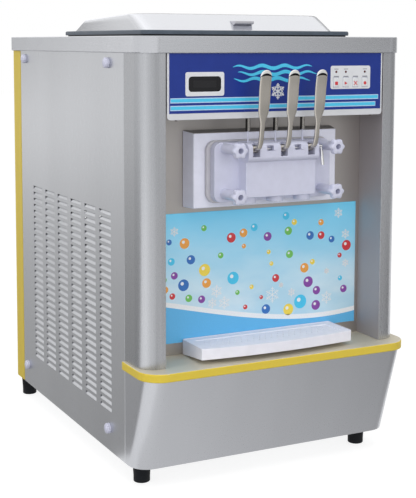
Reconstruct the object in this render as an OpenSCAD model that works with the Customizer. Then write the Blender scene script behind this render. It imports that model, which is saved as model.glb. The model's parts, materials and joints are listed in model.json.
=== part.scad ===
// Table-top soft-serve ice cream maker with two freezing cylinders and three outlets.
// X points to the machine's right-hand side as seen from the front, Y to its back, Z up.
// The origin is on the surface that the feet stand on, in the middle of the overall plan.

/* [Cabinet] */
// Width over the side panels
body_w = 530; // [500:1:600]
// Distance from the pillar fronts to the rear panel
body_d = 700; // [680:1:760]
// Distance from the pillar fronts back to the front edge of the side panels
pillar_d = 78; // [60:1:90]
// Width of a pillar's front face
pillar_w = 44; // [38:1:60]
// Radius of the cabinet's upright front corners
corner_r = 36; // [20:1:40]
// Height of the cabinet's underside, which is the height of the feet
foot_h = 40; // [30:1:60]
// Height of the top cover's skirt
cover_h = 29; // [20:1:40]
// How far the levers reach in front of the pillars
lever_reach = 54; // [50:1:60]

/* [Front] */
// Height of the shelf that the cups stand in front of
ledge_z = 211; // [200:1:215]
// Thickness of the shelf
ledge_h = 15; // [12:1:18]
// How far the shelf stands out in front of the pillars
ledge_overhang = 32; // [20:1:40]
// Depth of the cup recess, from the pillar fronts to the recess back
recess_d = 74; // [60:1:76]
// Height of the control panel, from its lower edge to the top cover
panel_h = 113; // [110:1:120]
// How far the base panel's foot is set back from the pillar fronts
base_setback = 28; // [10:1:40]

/* [Dispensing head] */
// Distance between the outlets
outlet_pitch = 56; // [50:1:60]
// Distance between the freezing cylinders' axes
cylinder_pitch = 100; // [98:1:104]
// Height of the freezing cylinders' axes; everything above the recess keeps its place to them
cylinder_z = 560; // [550:1:580]
// Inner diameter of a freezing cylinder
cylinder_id = 88; // [80:1:90]
// Distance from the lever pin to the piston axis
lever_arm = 22; // [21:0.5:23]
// Distance between the hand knobs across the door
knob_pitch_x = 197; // [190:1:204]
// Distance between the hand knobs up the door
knob_pitch_z = 80; // [78:1:84]

/* [Controls] */
// Number of keys on the keypad
key_count = 4; // [2:1:4]
// Distance between keys
key_pitch = 20.6; // [18:0.1:22]

/* [Side vents] */
// Columns of vent slots in a side panel
vent_columns = 6; // [1:1:6]
// Rows of vent slots in a side panel
vent_rows = 29; // [1:1:29]

/* [Hidden] */
$fn = 64;
eps = 0.01;
sheet = 1.5;
running_fit = 0.05;

cover_out = 3;
cover_rear_out = 4;
front_y = (lever_reach - body_d - cover_rear_out) / 2;
rear_y = front_y + body_d;
side_front_y = front_y + pillar_d;
recess_y = front_y + recess_d;
side_x = body_w / 2;
pillar_x = side_x - pillar_w;
ledge_top = ledge_z + ledge_h;
panel_z = cylinder_z + 93;
cover_z = panel_z + panel_h;
cover_top = cover_z + cover_h;
panel_top = cover_top - sheet;
pan_t = 2;
floor_z = foot_h + pan_t;
trim_w = 50;
trim_back_w = 40;
side_rear_y = rear_y - trim_w;

// Dispensing head, from the recess back forwards
block_w = 310;
block_z0 = cylinder_z - 67;
block_z1 = cylinder_z + 70;
block_d = 30;
block_draft = 8;
block_y = recess_y - block_d;
seal_d = 8;
seal_w = 252;
seal_z0 = cylinder_z - 58;
seal_z1 = cylinder_z + 53;
seal_y = block_y - seal_d;
door_w = 238;
door_z0 = cylinder_z - 55.4;
door_z1 = cylinder_z + 50.7;
door_flange_d = 16.7;
door_y = seal_y - door_flange_d;
head_w = 142;
head_z0 = cylinder_z - 46;
head_y = front_y - 8;
ridge_y = front_y - 19;
ridge_z0 = cylinder_z + 17;
knuckle_r = 11;
pin_r = 3;
pin_y = ridge_y + knuckle_r;
pin_z = cylinder_z + 39;
piston_r = 13;
piston_y = pin_y + lever_arm;
piston_top = door_z1 - 1.7;
piston_pin_top = cylinder_z + 69.3;
piston_pin_r = 1.6;
piston_z0 = cylinder_z - 43;
port_z = cylinder_z - 36;
port_r = 6;
slot_w = 14;
slot_z0 = cylinder_z + 26;
nozzle_r = 15.5;
nozzle_z0 = cylinder_z - 57;
stud_r = 4.95;
knob_stem_r = 9.25;
knob_head_d = 18;
knob_front_y = front_y - 40.4;
rod_r = 4.4;
rod_z0 = piston_pin_top + 0.3;
rod_z1 = panel_z + 39;
outlets_x = [-outlet_pitch, 0, outlet_pitch];

// Freezing cylinders and drives
cylinder_od = cylinder_id + 8;
cylinder_rear_y = 40;
cylinders_x = [-cylinder_pitch / 2, cylinder_pitch / 2];
shaft_r = 8;
spigot_y = -150;

// Hoppers and lid
lid_w = body_w - 124;
lid_y0 = front_y + 120;
lid_y1 = rear_y - 216;
lid_slope = 57;
lid_corner_r = 40;
lid_z0 = cover_top + 11;
lid_z1 = lid_z0 + 31;
lid_rear_drop = 9;
mouth_w = lid_w - 10;
mouth_y0 = lid_y0 + 2;
mouth_y1 = lid_y1 + 4;
hopper_z0 = cylinder_z + 85;
hopper_gap = 6;
seal_lip_w = lid_w + 30;
seal_lip_y0 = lid_y0 - 20;
seal_lip_y1 = lid_y1 + 26;

// Control panel
panel_w = 2 * pillar_x - 5;
panel_t = 3;
panel_corner_r = 6;
display_x = 73 - pillar_x;
display_z = panel_z + 60.5;
keypad_x = pillar_x - 72.6;
keypad_z = panel_z + 69;
key_z = keypad_z - 9;
light_z = keypad_z + 10;
light_r = 2.2;
key_w = 12;
key_h = 17;

// Drip tray
tray_w = 310;
tray_y0 = front_y - 6;
tray_bow = 14;
tray_top = ledge_top + 28;
tray_front_z = ledge_top + 9;
tray_wall = 3;
tray_rebate = 1.4;
tray_y1 = recess_y - 1.3;
grid_z = tray_top - 4;
grid_t = 3;
grid_gap = 0.3;

// Refrigeration
deck_z = cylinder_z - 74;
frame_t = 2.5;
deck_top = deck_z + frame_t;
liquid_y = -80;
suction_y = -20;
compressor_x = side_x - 145;
compressor_y = rear_y - 170;
compressor_r = 92;
fan_y = rear_y - 285;
fan_z = 275;
condenser_x = -side_x + 12;
condenser_d = 44;
condenser_w = 300;
condenser_h = 320;
coil_z0 = floor_z + 85;
coil_rows = 8;
coil_pitch = 38;
coil_z1 = coil_z0 + (coil_rows - 1) * coil_pitch;
shroud_x = condenser_x + condenser_d;

// ---------- shared shapes ----------

// Rectangle with round corners, centred
module rounded_rect(w, h, r) {
    square([w - 2 * r, h], center = true);
    square([w, h - 2 * r], center = true);
    for (sx = [-1, 1], sy = [-1, 1])
        translate([sx * (w / 2 - r), sy * (h / 2 - r)]) circle(r);
}

// Box from corner a to corner b
module box(a, b) {
    translate(a) cube(b - a);
}

// Upright plate facing the front: a profile in X and Z, from y0 back by depth
module front_plate(y0, depth) {
    translate([0, y0 + depth, 0]) rotate([90, 0, 0]) linear_extrude(depth) children();
}

// Profile in Y and Z, drawn across the machine from x0 to x1
module cross_plate(x0, x1) {
    translate([x0, 0, 0]) rotate([90, 0, 90]) linear_extrude(x1 - x0) children();
}

// Cylinder along Y from y0 to y1
module rod_y(x, z, r, y0, y1) {
    translate([x, y1, z]) rotate([90, 0, 0]) cylinder(r = r, h = y1 - y0);
}

// Cylinder along X from x0 to x1
module rod_x(y, z, r, x0, x1) {
    translate([x0, y, z]) rotate([0, 90, 0]) cylinder(r = r, h = x1 - x0);
}

// Cylinder along Z from z0 to z1
module rod_z(x, y, r, z0, z1) {
    translate([x, y, z0]) cylinder(r = r, h = z1 - z0);
}

// Plan of a cabinet front: round at both front corners, square at the back
module front_round_plan(w, y0, y1, r) {
    translate([-w / 2, y0 + r]) square([w, y1 - y0 - r]);
    translate([-w / 2 + r, y0]) square([w - 2 * r, r + eps]);
    for (sx = [-1, 1]) intersection() {
        translate([sx * (w / 2 - r), y0 + r]) circle(r);
        translate([-w / 2, y0]) square([w, r]);
    }
}

// ---------- cabinet ----------

// Floor plate of the cabinet
module base_pan() {
    color("silver") translate([0, 0, foot_h]) linear_extrude(pan_t)
        front_round_plan(body_w - 2 * sheet, front_y + base_setback + sheet + 0.5, rear_y - sheet,
                         corner_r - sheet);
}

// Welded frame: four angle posts, top rails and the deck that carries the cylinders
module frame() {
    post = 24;
    x1 = side_x - sheet;
    y0 = side_front_y + 1;
    y1 = rear_y - sheet;
    z1 = panel_top;
    color("darkgray") difference() {
        union() {
            for (sx = [-1, 1]) {
                for (end = [[y0, 1], [y1, -1]])
                    translate([sx * x1, end[0], floor_z]) mirror([sx > 0 ? 1 : 0, 0, 0])
                        mirror([0, end[1] > 0 ? 0 : 1, 0]) {
                            cube([post, frame_t, z1 - floor_z]);
                            cube([frame_t, post, z1 - floor_z]);
                        }
                box([sx > 0 ? x1 - frame_t : -x1, y0, z1 - post], [sx > 0 ? x1 : -x1 + frame_t, y1, z1]);
            }
            box([-x1, y1 - frame_t, z1 - post], [x1, y1, z1]);
            box([-x1, y0, deck_z], [x1, y1, deck_z + frame_t]);
        }
        for (x = cylinders_x, y = [liquid_y, suction_y]) rod_z(x, y, 8, deck_z - 1, deck_z + 5);
    }
}

// Sheet side panel with its field of vent slots
module side_panel(side) {
    slot_l = 56.4;
    slot_h = 7;
    pitch_y = 75.2;
    pitch_z = 12.9;
    first_y = side_front_y + 62.3;
    first_z = floor_z + 72;
    x0 = side > 0 ? side_x - sheet : -side_x;
    color("silver") cross_plate(x0, x0 + sheet) difference() {
        translate([side_front_y, foot_h]) square([side_rear_y - side_front_y, panel_top - foot_h]);
        for (column = [0 : vent_columns - 1], row = [0 : vent_rows - 1])
            translate([first_y + column * pitch_y, first_z + row * pitch_z]) square([slot_l, slot_h]);
    }
}

// Sheet rear panel with an air outlet and the cable gland
module rear_panel() {
    slots = 16;
    slot_pitch = 12;
    slots_z = floor_z + 258;
    x1 = side_x - trim_back_w - 0.2;
    color("silver") {
        difference() {
            box([-x1, rear_y - sheet, foot_h], [x1, rear_y, panel_top]);
            for (row = [0 : slots - 1])
                box([-120, rear_y - 3, slots_z + row * slot_pitch],
                    [120, rear_y + 1, slots_z + row * slot_pitch + 5]);
            rod_y(180, 90, 9, rear_y - 3, rear_y + 1);
        }
        difference() {
            rod_y(180, 90, 12, rear_y - sheet - 6, rear_y + 2);
            rod_y(180, 90, 6, rear_y - sheet - 7, rear_y + 3);
        }
    }
}

// Gold angle strips on the two rear corners
module rear_trims() {
    color("goldenrod") for (sx = [-1, 1]) mirror([sx > 0 ? 0 : 1, 0, 0]) difference() {
        box([side_x - trim_back_w, side_rear_y + 0.2, foot_h], [side_x, rear_y, panel_top]);
        box([side_x - trim_back_w - 1, side_rear_y - 1, foot_h - 1],
            [side_x - sheet, rear_y - sheet, panel_top + 1]);
    }
}

// Plan of a right-hand pillar, inset by i
module pillar_plan(i) {
    r = corner_r;
    translate([pillar_x + i, front_y + r]) square([pillar_w - 2 * i, pillar_d - r]);
    translate([pillar_x + i, front_y + i]) square([pillar_w - r - i, r]);
    intersection() {
        translate([side_x - r, front_y + r]) circle(r - i);
        translate([side_x - r, front_y]) square(r);
    }
}

// Hollow pillar between the shelf and the top cover
module pillar(side) {
    color("silver") mirror([side > 0 ? 0 : 1, 0, 0]) translate([0, 0, ledge_top])
        linear_extrude(panel_top - ledge_top) difference() {
            pillar_plan(0);
            intersection() {
                pillar_plan(sheet);
                translate([0, front_y]) square([side_x, pillar_d - sheet]);
            }
        }
}

// Thick shelf that runs round the front of the cabinet
module ledge() {
    color("goldenrod") translate([0, 0, ledge_z]) linear_extrude(ledge_h)
        front_round_plan(body_w + 12, front_y - ledge_overhang, side_front_y - 0.2, 42);
}

// Base panel below the shelf: it leans back towards its foot
module base_front_panel() {
    top_y = front_y - ledge_overhang + 5;
    foot_y = front_y + base_setback;
    z0 = foot_h;
    z1 = ledge_z;
    module shell(i) {
        hull() for (edge = [[z0 - i, foot_y], [z1 - 0.1 + i, top_y]])
            translate([0, 0, edge[0]]) linear_extrude(0.1)
                front_round_plan(body_w - 2 * i, edge[1] + i, side_front_y - 0.2 + i, corner_r - i, $fn = 32);
    }
    color("silver") difference() {
        shell(0);
        shell(sheet);
    }
}

// Brushed steel back of the cup recess, with openings for the cylinders
module recess_back_panel() {
    color("silver") difference() {
        box([-pillar_x, recess_y, ledge_top], [pillar_x, recess_y + sheet, panel_top]);
        for (x = cylinders_x) rod_y(x, cylinder_z, cylinder_od / 2 + 0.5, recess_y - 1, recess_y + 3);
    }
}

// Printed panel on the recess back
module poster_panel() {
    half = pillar_x - 7;
    color("lightskyblue") box([-half, recess_y - 1, ledge_top + 22], [half, recess_y, block_z0 - 11]);
}

// Top cover with the hopper mouth
module top_cover() {
    w = body_w + 2 * cover_out;
    y0 = front_y - cover_out;
    y1 = rear_y + cover_rear_out;
    r = corner_r + cover_out;
    color("silver") difference() {
        translate([0, 0, cover_z]) linear_extrude(cover_h) front_round_plan(w, y0, y1, r);
        translate([0, 0, cover_z - 1]) linear_extrude(cover_h - sheet + 1)
            front_round_plan(w - 2 * sheet, y0 + sheet, y1 - sheet, r - sheet);
        box([-mouth_w / 2, mouth_y0, cover_top - 5], [mouth_w / 2, mouth_y1, cover_top + 1]);
    }
}

// ---------- controls ----------

// Painted front plate, round at its lower corners, with cut-outs for the display and the keypad
module control_panel() {
    r = panel_corner_r;
    color("mediumblue") front_plate(front_y, panel_t) difference() {
        union() {
            translate([-panel_w / 2, panel_z + r]) square([panel_w, panel_top - panel_z - r]);
            translate([-panel_w / 2 + r, panel_z]) square([panel_w - 2 * r, r + eps]);
            for (sx = [-1, 1]) translate([sx * (panel_w / 2 - r), panel_z + r]) circle(r);
        }
        translate([display_x, display_z]) square([66, 34], center = true);
        translate([keypad_x, keypad_z]) square([80, 36], center = true);
    }
}

// Box behind the control panel; its floor guides the switch rods
module control_housing() {
    y0 = front_y + panel_t;
    y1 = recess_y;
    z0 = panel_z + 11;
    z1 = cover_z - 2;
    guide_h = 8;
    color("gray") difference() {
        union() {
            difference() {
                box([-panel_w / 2, y0, z0], [panel_w / 2, y1, z1]);
                box([-panel_w / 2 + sheet, y0 - 1, z0 + sheet], [panel_w / 2 - sheet, y1 - sheet, z1 - sheet]);
            }
            for (x = outlets_x) rod_z(x, piston_y, rod_r + 2.5, z0 - guide_h, z0 + sheet);
        }
        for (x = outlets_x) rod_z(x, piston_y, rod_r + running_fit, z0 - guide_h - 1, z0 + sheet + 1);
    }
}

// White frame of the display
module display_bezel() {
    color("white") {
        front_plate(front_y - 1.2, 1.2) difference() {
            translate([display_x, display_z]) rounded_rect(74, 41, 4);
            translate([display_x, display_z]) rounded_rect(62, 26, 6);
        }
        front_plate(front_y, panel_t) difference() {
            translate([display_x, display_z]) square([65.4, 33.4], center = true);
            translate([display_x, display_z]) rounded_rect(62, 26, 6);
        }
    }
}

// Dark window of the display
module display_window() {
    color("black") front_plate(front_y - 0.4, panel_t) translate([display_x, display_z])
        rounded_rect(62, 26, 6);
}

key_x0 = keypad_x - (key_count - 1) / 2 * key_pitch;

// White plate that frames the keys and the lights
module keypad_plate() {
    color("white") difference() {
        union() {
            front_plate(front_y - 0.8, 0.8) translate([keypad_x, keypad_z]) rounded_rect(86, 42, 4);
            front_plate(front_y, panel_t + 4) translate([keypad_x, keypad_z])
                square([79.4, 35.4], center = true);
        }
        for (i = [0 : key_count - 1])
            box([key_x0 + i * key_pitch - key_w / 2 - 0.3, front_y - 2, key_z - key_h / 2 - 0.3],
                [key_x0 + i * key_pitch + key_w / 2 + 0.3, front_y + 4, key_z + key_h / 2 + 0.3]);
        for (i = [0, 1, 3]) rod_y(key_x0 + i * key_pitch, light_z, light_r, front_y - 2, front_y + 4);
    }
}

// Key cap number i; it travels 0.8 mm back into its pocket
module key_cap(i) {
    color("whitesmoke") translate([key_x0 + i * key_pitch, 0, key_z]) {
        front_plate(front_y - 1.8, 4.6) rounded_rect(key_w, key_h, 1.5);
    }
}

// Three round indicator lenses
module indicator_lights() {
    color("red") for (i = [0, 1, 3]) rod_y(key_x0 + i * key_pitch, light_z, light_r, front_y - 1, front_y + 4);
}

// ---------- dispensing head ----------

// Insulated white head block round the cylinder mouths, drafted towards the front
module front_block() {
    half = block_w / 2;
    color("ghostwhite") difference() {
        intersection() {
            cross_plate(-half, half) polygon([[recess_y, block_z0], [recess_y, block_z1],
                                              [block_y, block_z1 - 4], [block_y, block_z0]]);
            translate([0, 0, block_z0]) linear_extrude(block_z1 - block_z0)
                polygon([[-half, recess_y], [-half + block_draft, block_y],
                         [half - block_draft, block_y], [half, recess_y]]);
        }
        for (x = cylinders_x) rod_y(x, cylinder_z, cylinder_od / 2, block_y - 1, recess_y + 1);
        for (sx = [-1, 1], sz = [-1, 1])
            rod_y(sx * knob_pitch_x / 2, cylinder_z + sz * knob_pitch_z / 2, stud_r, block_y - 1, recess_y - 6);
    }
}

// Raised gasket plate between the block and the door
module seal_plate() {
    color("white") difference() {
        front_plate(seal_y, seal_d) translate([0, (seal_z0 + seal_z1) / 2])
            rounded_rect(seal_w, seal_z1 - seal_z0, 18);
        for (x = cylinders_x) rod_y(x, cylinder_z, cylinder_id / 2, seal_y - 1, block_y + 1);
        for (sx = [-1, 1], sz = [-1, 1])
            rod_y(sx * knob_pitch_x / 2, cylinder_z + sz * knob_pitch_z / 2, stud_r + running_fit,
                  seal_y - 1, block_y + 1);
    }
}

// Solid outline of the door: flange, thick middle and the knuckled lever ridge
module door_solid() {
    front_plate(door_y, door_flange_d) translate([0, (door_z0 + door_z1) / 2])
        rounded_rect(door_w, door_z1 - door_z0, 14);
    box([-head_w / 2, head_y, head_z0], [head_w / 2, door_y + 1, pin_z]);
    cross_plate(-head_w / 2 - 1, head_w / 2 + 1) {
        translate([pin_y, pin_z]) circle(knuckle_r);
        translate([pin_y, pin_z - 6]) square([door_y - pin_y + 1, knuckle_r + 6]);
        translate([ridge_y, ridge_z0 + 9]) square([door_y - ridge_y, pin_z - ridge_z0 - 9]);
        translate([ridge_y + 9, ridge_z0]) square([door_y - ridge_y - 9, 10]);
        translate([ridge_y + 9, ridge_z0 + 9]) circle(9);
    }
    for (x = outlets_x) rod_z(x, piston_y, nozzle_r, nozzle_z0, head_z0 + 1);
}

// Star-shaped outlet
module star_outlet(r) {
    points = 6;
    polygon([for (i = [0 : 2 * points - 1]) (i % 2 == 0 ? r : r * 0.6)
             * [cos(i * 180 / points), sin(i * 180 / points)]]);
}

// Dispensing door with the piston bores, product ports, lever slots and pin bore
module dispensing_door() {
    pocket_w = 13;
    color("ghostwhite") difference() {
        door_solid();
        for (x = outlets_x) {
            rod_z(x, piston_y, piston_r, head_z0 - 6, door_z1 + 10);
            translate([x, piston_y, nozzle_z0 - 1]) linear_extrude(8) star_outlet(11);
            rod_y(x, port_z, port_r, piston_y, seal_y + 1);
            box([x - slot_w / 2, ridge_y - 2, slot_z0], [x + slot_w / 2, piston_y, door_z1 + 10]);
        }
        box([-30, seal_y - 6, port_z - port_r], [30, seal_y + 1, port_z + port_r]);
        rod_x(pin_y, pin_z, pin_r, -head_w, head_w);
        for (sx = [-1, 1]) {
            box([sx * outlet_pitch / 2 - pocket_w / 2, ridge_y - 2, pin_z - 3],
                [sx * outlet_pitch / 2 + pocket_w / 2, pin_y, pin_z + 6]);
        }
        for (sx = [-1, 1], sz = [-1, 1])
            rod_y(sx * knob_pitch_x / 2, cylinder_z + sz * knob_pitch_z / 2, stud_r + running_fit,
                  door_y - 1, seal_y + 1);
    }
}

// Four studs that hold the door
module door_studs() {
    color("silver") for (sx = [-1, 1], sz = [-1, 1])
        rod_y(sx * knob_pitch_x / 2, cylinder_z + sz * knob_pitch_z / 2, stud_r, front_y - 8, recess_y - 6);
}

// Hand knob: long stem with a six-lobed head, bored right through
module hand_knob(sx, sz) {
    lobes = 6;
    lobe_r = 3.3;
    core_r = 11.2;
    color("ghostwhite") translate([sx * knob_pitch_x / 2, 0, cylinder_z + sz * knob_pitch_z / 2])
        difference() {
            union() {
                rod_y(0, 0, knob_stem_r, knob_front_y + knob_head_d - 1, door_y);
                front_plate(knob_front_y, knob_head_d) {
                    circle(core_r);
                    for (i = [0 : lobes - 1]) rotate(i * 360 / lobes) translate([core_r, 0]) circle(lobe_r);
                }
            }
            rod_y(0, 0, stud_r + running_fit, knob_front_y - 1, door_y + 1);
        }
}

// Draw piston in its closed position, with the thin pin that reaches up to its switch rod
module piston(x) {
    groove = 1.2;
    flare = 5;
    slot_half = 5.1;
    color("white") translate([x, piston_y, 0]) difference() {
        union() {
            rod_z(0, 0, piston_r - running_fit, piston_z0, piston_top);
            rod_z(0, 0, piston_pin_r, piston_top - 1, piston_pin_top);
        }
        for (z = [piston_z0 + 5, piston_z0 + 28, piston_z0 + 63]) difference() {
            rod_z(0, 0, piston_r + 1, z, z + 3);
            rod_z(0, 0, piston_r - groove, z - 1, z + 4);
        }
        cross_plate(-5.6, 5.6) polygon([[-piston_r - 1, pin_z - slot_half - flare],
                                        [-5, pin_z - slot_half], [6, pin_z - slot_half],
                                        [6, pin_z + slot_half], [-piston_r - 1, pin_z + slot_half]]);
    }
}

lever_t = 5;

// Centre line of a lever, from its hub forwards and up, as [y, z]
lever_route = [[pin_y, pin_z], [pin_y - 12, pin_z + 1], [pin_y - 20, pin_z + 6], [pin_y - 25, pin_z + 17],
               [pin_y - 28, pin_z + 35], [pin_y - 31.5, pin_z + 58], [pin_y - 35.5, pin_z + 82],
               [pin_y - 38.5, pin_z + 112], [front_y - lever_reach + lever_t / 2, pin_z + 139]];

// Point at fraction t of a route, on a smooth curve through its points
function route_point(p, i, t) =
    let (a = p[max(i - 1, 0)], b = p[i], c = p[i + 1], d = p[min(i + 2, len(p) - 1)])
    0.5 * (2 * b + (c - a) * t + (2 * a - 5 * b + 4 * c - d) * t * t + (3 * b - a - 3 * c + d) * t * t * t);
function smooth_route(p, steps) =
    concat([for (i = [0 : len(p) - 2], s = [0 : steps - 1]) route_point(p, i, s / steps)], [p[len(p) - 1]]);
function side_normal(p, i) =
    let (d = p[min(i + 1, len(p) - 1)] - p[max(i - 1, 0)]) [-d[1], d[0]] / norm(d);

// Strip of thickness t along a route
module route_strip(p, t) {
    q = smooth_route(p, 4);
    polygon(concat([for (i = [0 : len(q) - 1]) q[i] + side_normal(q, i) * t / 2],
                   [for (i = [len(q) - 1 : -1 : 0]) q[i] - side_normal(q, i) * t / 2]));
}

// Front outline of a lever: narrow stem, long paddle with a round top
module lever_outline() {
    stem = 4.5;
    paddle = 11.4;
    top = pin_z + 139 - paddle;
    translate([-stem, pin_z - 12]) square([2 * stem, 60]);
    polygon([[-stem, pin_z + 34], [-6, pin_z + 53], [-paddle, pin_z + 74], [-paddle, top],
             [paddle, top], [paddle, pin_z + 74], [6, pin_z + 53], [stem, pin_z + 34]]);
    translate([0, top]) circle(paddle);
}

// Draw lever: pulling its paddle forwards and down lifts the piston
module lever(x) {
    hub_half = slot_w / 2 - 0.3;
    color("silver") translate([x, 0, 0]) difference() {
        union() {
            intersection() {
                cross_plate(-15, 15) route_strip(lever_route, lever_t);
                front_plate(pin_y - 60, 80) lever_outline();
            }
            rod_x(pin_y, pin_z, 7, -hub_half, hub_half);
            box([-5, pin_y, pin_z - 2.5], [5, piston_y - 1, pin_z + 2.5]);
            rod_x(piston_y - 1, pin_z, 4.5, -5, 5);
        }
        rod_x(pin_y, pin_z, pin_r + running_fit, -10, 10);
    }
}

// Hinge pin of the levers, bent down at its right-hand end
module lever_pin() {
    bend_x = head_w / 2 + 11;
    color("silver") {
        rod_x(pin_y, pin_z, pin_r, -head_w / 2 - 1, bend_x);
        translate([bend_x, pin_y, pin_z]) sphere(pin_r + 0.3);
        translate([bend_x, pin_y, pin_z]) rotate([0, 173, 0]) cylinder(r = pin_r, h = 34);
    }
}

// Rod that carries a piston's movement up to its switch
module switch_rod(x) {
    color("gray") {
        rod_z(x, piston_y, rod_r, rod_z0, rod_z1);
        rod_z(x, piston_y, rod_r + 2, panel_z + 11 + sheet, panel_z + 11 + sheet + 3);
    }
}

// Three micro switches over the rods
module micro_switches() {
    color("dimgray") for (x = outlets_x) {
        box([x - 10, piston_y - 5, rod_z1 + 13.5], [x + 10, piston_y + 5, cover_z - 2 - sheet]);
    }
}

// ---------- drip tray ----------

// Plan of the drip tray, moved inwards by inset: straight ends and back, bowed front
module tray_plan(inset) {
    half = tray_w / 2;
    bow_r = (half * half + tray_bow * tray_bow) / (2 * tray_bow);
    intersection() {
        translate([-half + inset, tray_y0 - tray_bow])
            square([tray_w - 2 * inset, tray_y1 - inset - tray_y0 + tray_bow]);
        translate([0, tray_y0 - tray_bow + bow_r]) circle(bow_r - inset);
    }
}

// Side profile of the drip tray above its sloped underside, raised by lift
module tray_profile(lift) {
    front = tray_y0 - tray_bow;
    cross_plate(-tray_w / 2, tray_w / 2)
        polygon([[front, tray_front_z + lift], [tray_y1, ledge_top + lift],
                 [tray_y1, tray_top + lift], [front, tray_top + lift]]);
}

// Open tray that stands on the shelf, with a rebate for its grid
module drip_tray() {
    h = tray_top - ledge_top + 2;
    color("white") difference() {
        intersection() {
            tray_profile(0);
            translate([0, 0, ledge_top - 1]) linear_extrude(h) tray_plan(0);
        }
        intersection() {
            tray_profile(tray_wall);
            translate([0, 0, ledge_top]) linear_extrude(h) tray_plan(tray_wall);
        }
        translate([0, 0, grid_z]) linear_extrude(h) tray_plan(tray_rebate);
    }
}

// Drip plate that lies in the rebate of the tray: a shallow dish with rows of drain holes
module drip_grid() {
    columns = 21;
    rows = 4;
    pitch_x = 12.4;
    pitch_y = 10.5;
    hole_r = 1.7;
    margin = 15;
    dish_h = 1.2;
    edge = tray_rebate + grid_gap;
    top = grid_z + grid_t;
    color("white") difference() {
        translate([0, 0, grid_z]) linear_extrude(grid_t) tray_plan(edge);
        translate([0, 0, top - dish_h]) linear_extrude(dish_h + 1) tray_plan(edge + margin);
        for (column = [0 : columns - 1], row = [0 : rows - 1])
            rod_z((column - (columns - 1) / 2 + (row % 2 == 0 ? -0.25 : 0.25)) * pitch_x,
                  (tray_y0 + tray_y1) / 2 + (row - (rows - 1) / 2) * pitch_y, hole_r, grid_z - 1, top + 1);
    }
}

// ---------- hoppers and lid ----------

// Two mix hoppers, each with an outlet spigot over its cylinder
module hoppers() {
    w = (mouth_w - 2 - hopper_gap) / 2;
    rim = 4;
    color("lightgray") for (sx = [-1, 1]) {
        x0 = sx > 0 ? hopper_gap / 2 : -hopper_gap / 2 - w;
        difference() {
            union() {
                box([x0, mouth_y0 + 1, hopper_z0], [x0 + w, mouth_y1 - 1, cover_top]);
                box([sx > 0 ? x0 - 2.8 : x0 - rim, mouth_y0 - rim, cover_top],
                    [sx > 0 ? x0 + w + rim : x0 + w + 2.8, mouth_y1 + rim, cover_top + sheet]);
                rod_z(sx * cylinder_pitch / 2, spigot_y, 12, cylinder_z + cylinder_od / 2 - 1, hopper_z0 + 1);
            }
            box([x0 + sheet, mouth_y0 + 1 + sheet, hopper_z0 + sheet],
                [x0 + w - sheet, mouth_y1 - 1 - sheet, cover_top + 5]);
            rod_z(sx * cylinder_pitch / 2, spigot_y, 9, cylinder_z + cylinder_od / 2 - 5, hopper_z0 + 5);
            rod_y(sx * cylinder_pitch / 2, cylinder_z, cylinder_od / 2, spigot_y - 20, spigot_y + 20);
        }
    }
}

// Profile of the lid in Y and Z: sloped front and back, top falling to the rear
module lid_profile(i) {
    polygon([[lid_y0 + i, lid_z0 - (i > 0 ? 1 : 0)], [lid_y0 + lid_slope + i * 0.5, lid_z1 - i],
             [lid_y1 - lid_slope - i * 0.5, lid_z1 - lid_rear_drop - i],
             [lid_y1 - i, lid_z0 - (i > 0 ? 1 : 0)]]);
}

// Folded sheet lid over both hoppers
module hopper_lid() {
    half = lid_w / 2;
    color("silver") difference() {
        intersection() {
            cross_plate(-half, half) lid_profile(0);
            translate([0, 0, lid_z0 - 1]) linear_extrude(lid_z1 - lid_z0 + 2)
                front_round_plan(lid_w, lid_y0, lid_y1, lid_corner_r);
        }
        cross_plate(-half + sheet, half - sheet) lid_profile(sheet * 2);
    }
}

// Rubber seal under the lid
module lid_seal() {
    w = seal_lip_w;
    inner_w = mouth_w + 14;
    cy = (seal_lip_y0 + seal_lip_y1) / 2;
    depth = seal_lip_y1 - seal_lip_y0;
    color("darkslategray") translate([0, cy, cover_top]) difference() {
        union() {
            linear_extrude(3) rounded_rect(w - 10, depth - 10, 14);
            translate([0, 0, 3]) linear_extrude(lid_z0 - cover_top - 3) rounded_rect(w, depth, 18);
        }
        translate([0, (mouth_y0 + mouth_y1) / 2 - cy, -1]) linear_extrude(5)
            square([inner_w, mouth_y1 - mouth_y0 + 14], center = true);
        translate([0, (lid_y0 + lid_y1) / 2 - cy, -1]) linear_extrude(20)
            square([lid_w - 30, lid_y1 - lid_y0 - 30], center = true);
    }
}

// Y of the lid's sloped front at height z
function lid_front_y(z) = lid_y0 + lid_slope * (z - lid_z0) / (lid_z1 - lid_z0);

// Small grip on the lid's sloped front
module lid_handle() {
    half = 20;
    z0 = lid_z0 + 10;
    z1 = z0 + 8;
    color("silver") cross_plate(-half, half)
        polygon([[lid_front_y(z0), z0], [lid_front_y(z0) - 8, z0 + 3],
                 [lid_front_y(z0) - 8, z1], [lid_front_y(z1), z1]]);
}

// ---------- freezing cylinders and drives ----------

// Two freezing cylinders, closed at the back round the beater shafts
module cylinders() {
    end_t = 8;
    color("lightgray") for (x = cylinders_x) difference() {
        union() {
            rod_y(x, cylinder_z, cylinder_od / 2, block_y, cylinder_rear_y);
            box([x - 25, cylinder_rear_y - 30, deck_top], [x + 25, cylinder_rear_y - 15, cylinder_z - 30]);
        }
        rod_y(x, cylinder_z, cylinder_id / 2, block_y - 1, cylinder_rear_y - end_t);
        rod_y(x, cylinder_z, shaft_r + running_fit, cylinder_rear_y - end_t - 1, cylinder_rear_y + 1);
        rod_z(x, spigot_y, 9, cylinder_z, cylinder_z + cylinder_od);
    }
}

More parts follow.
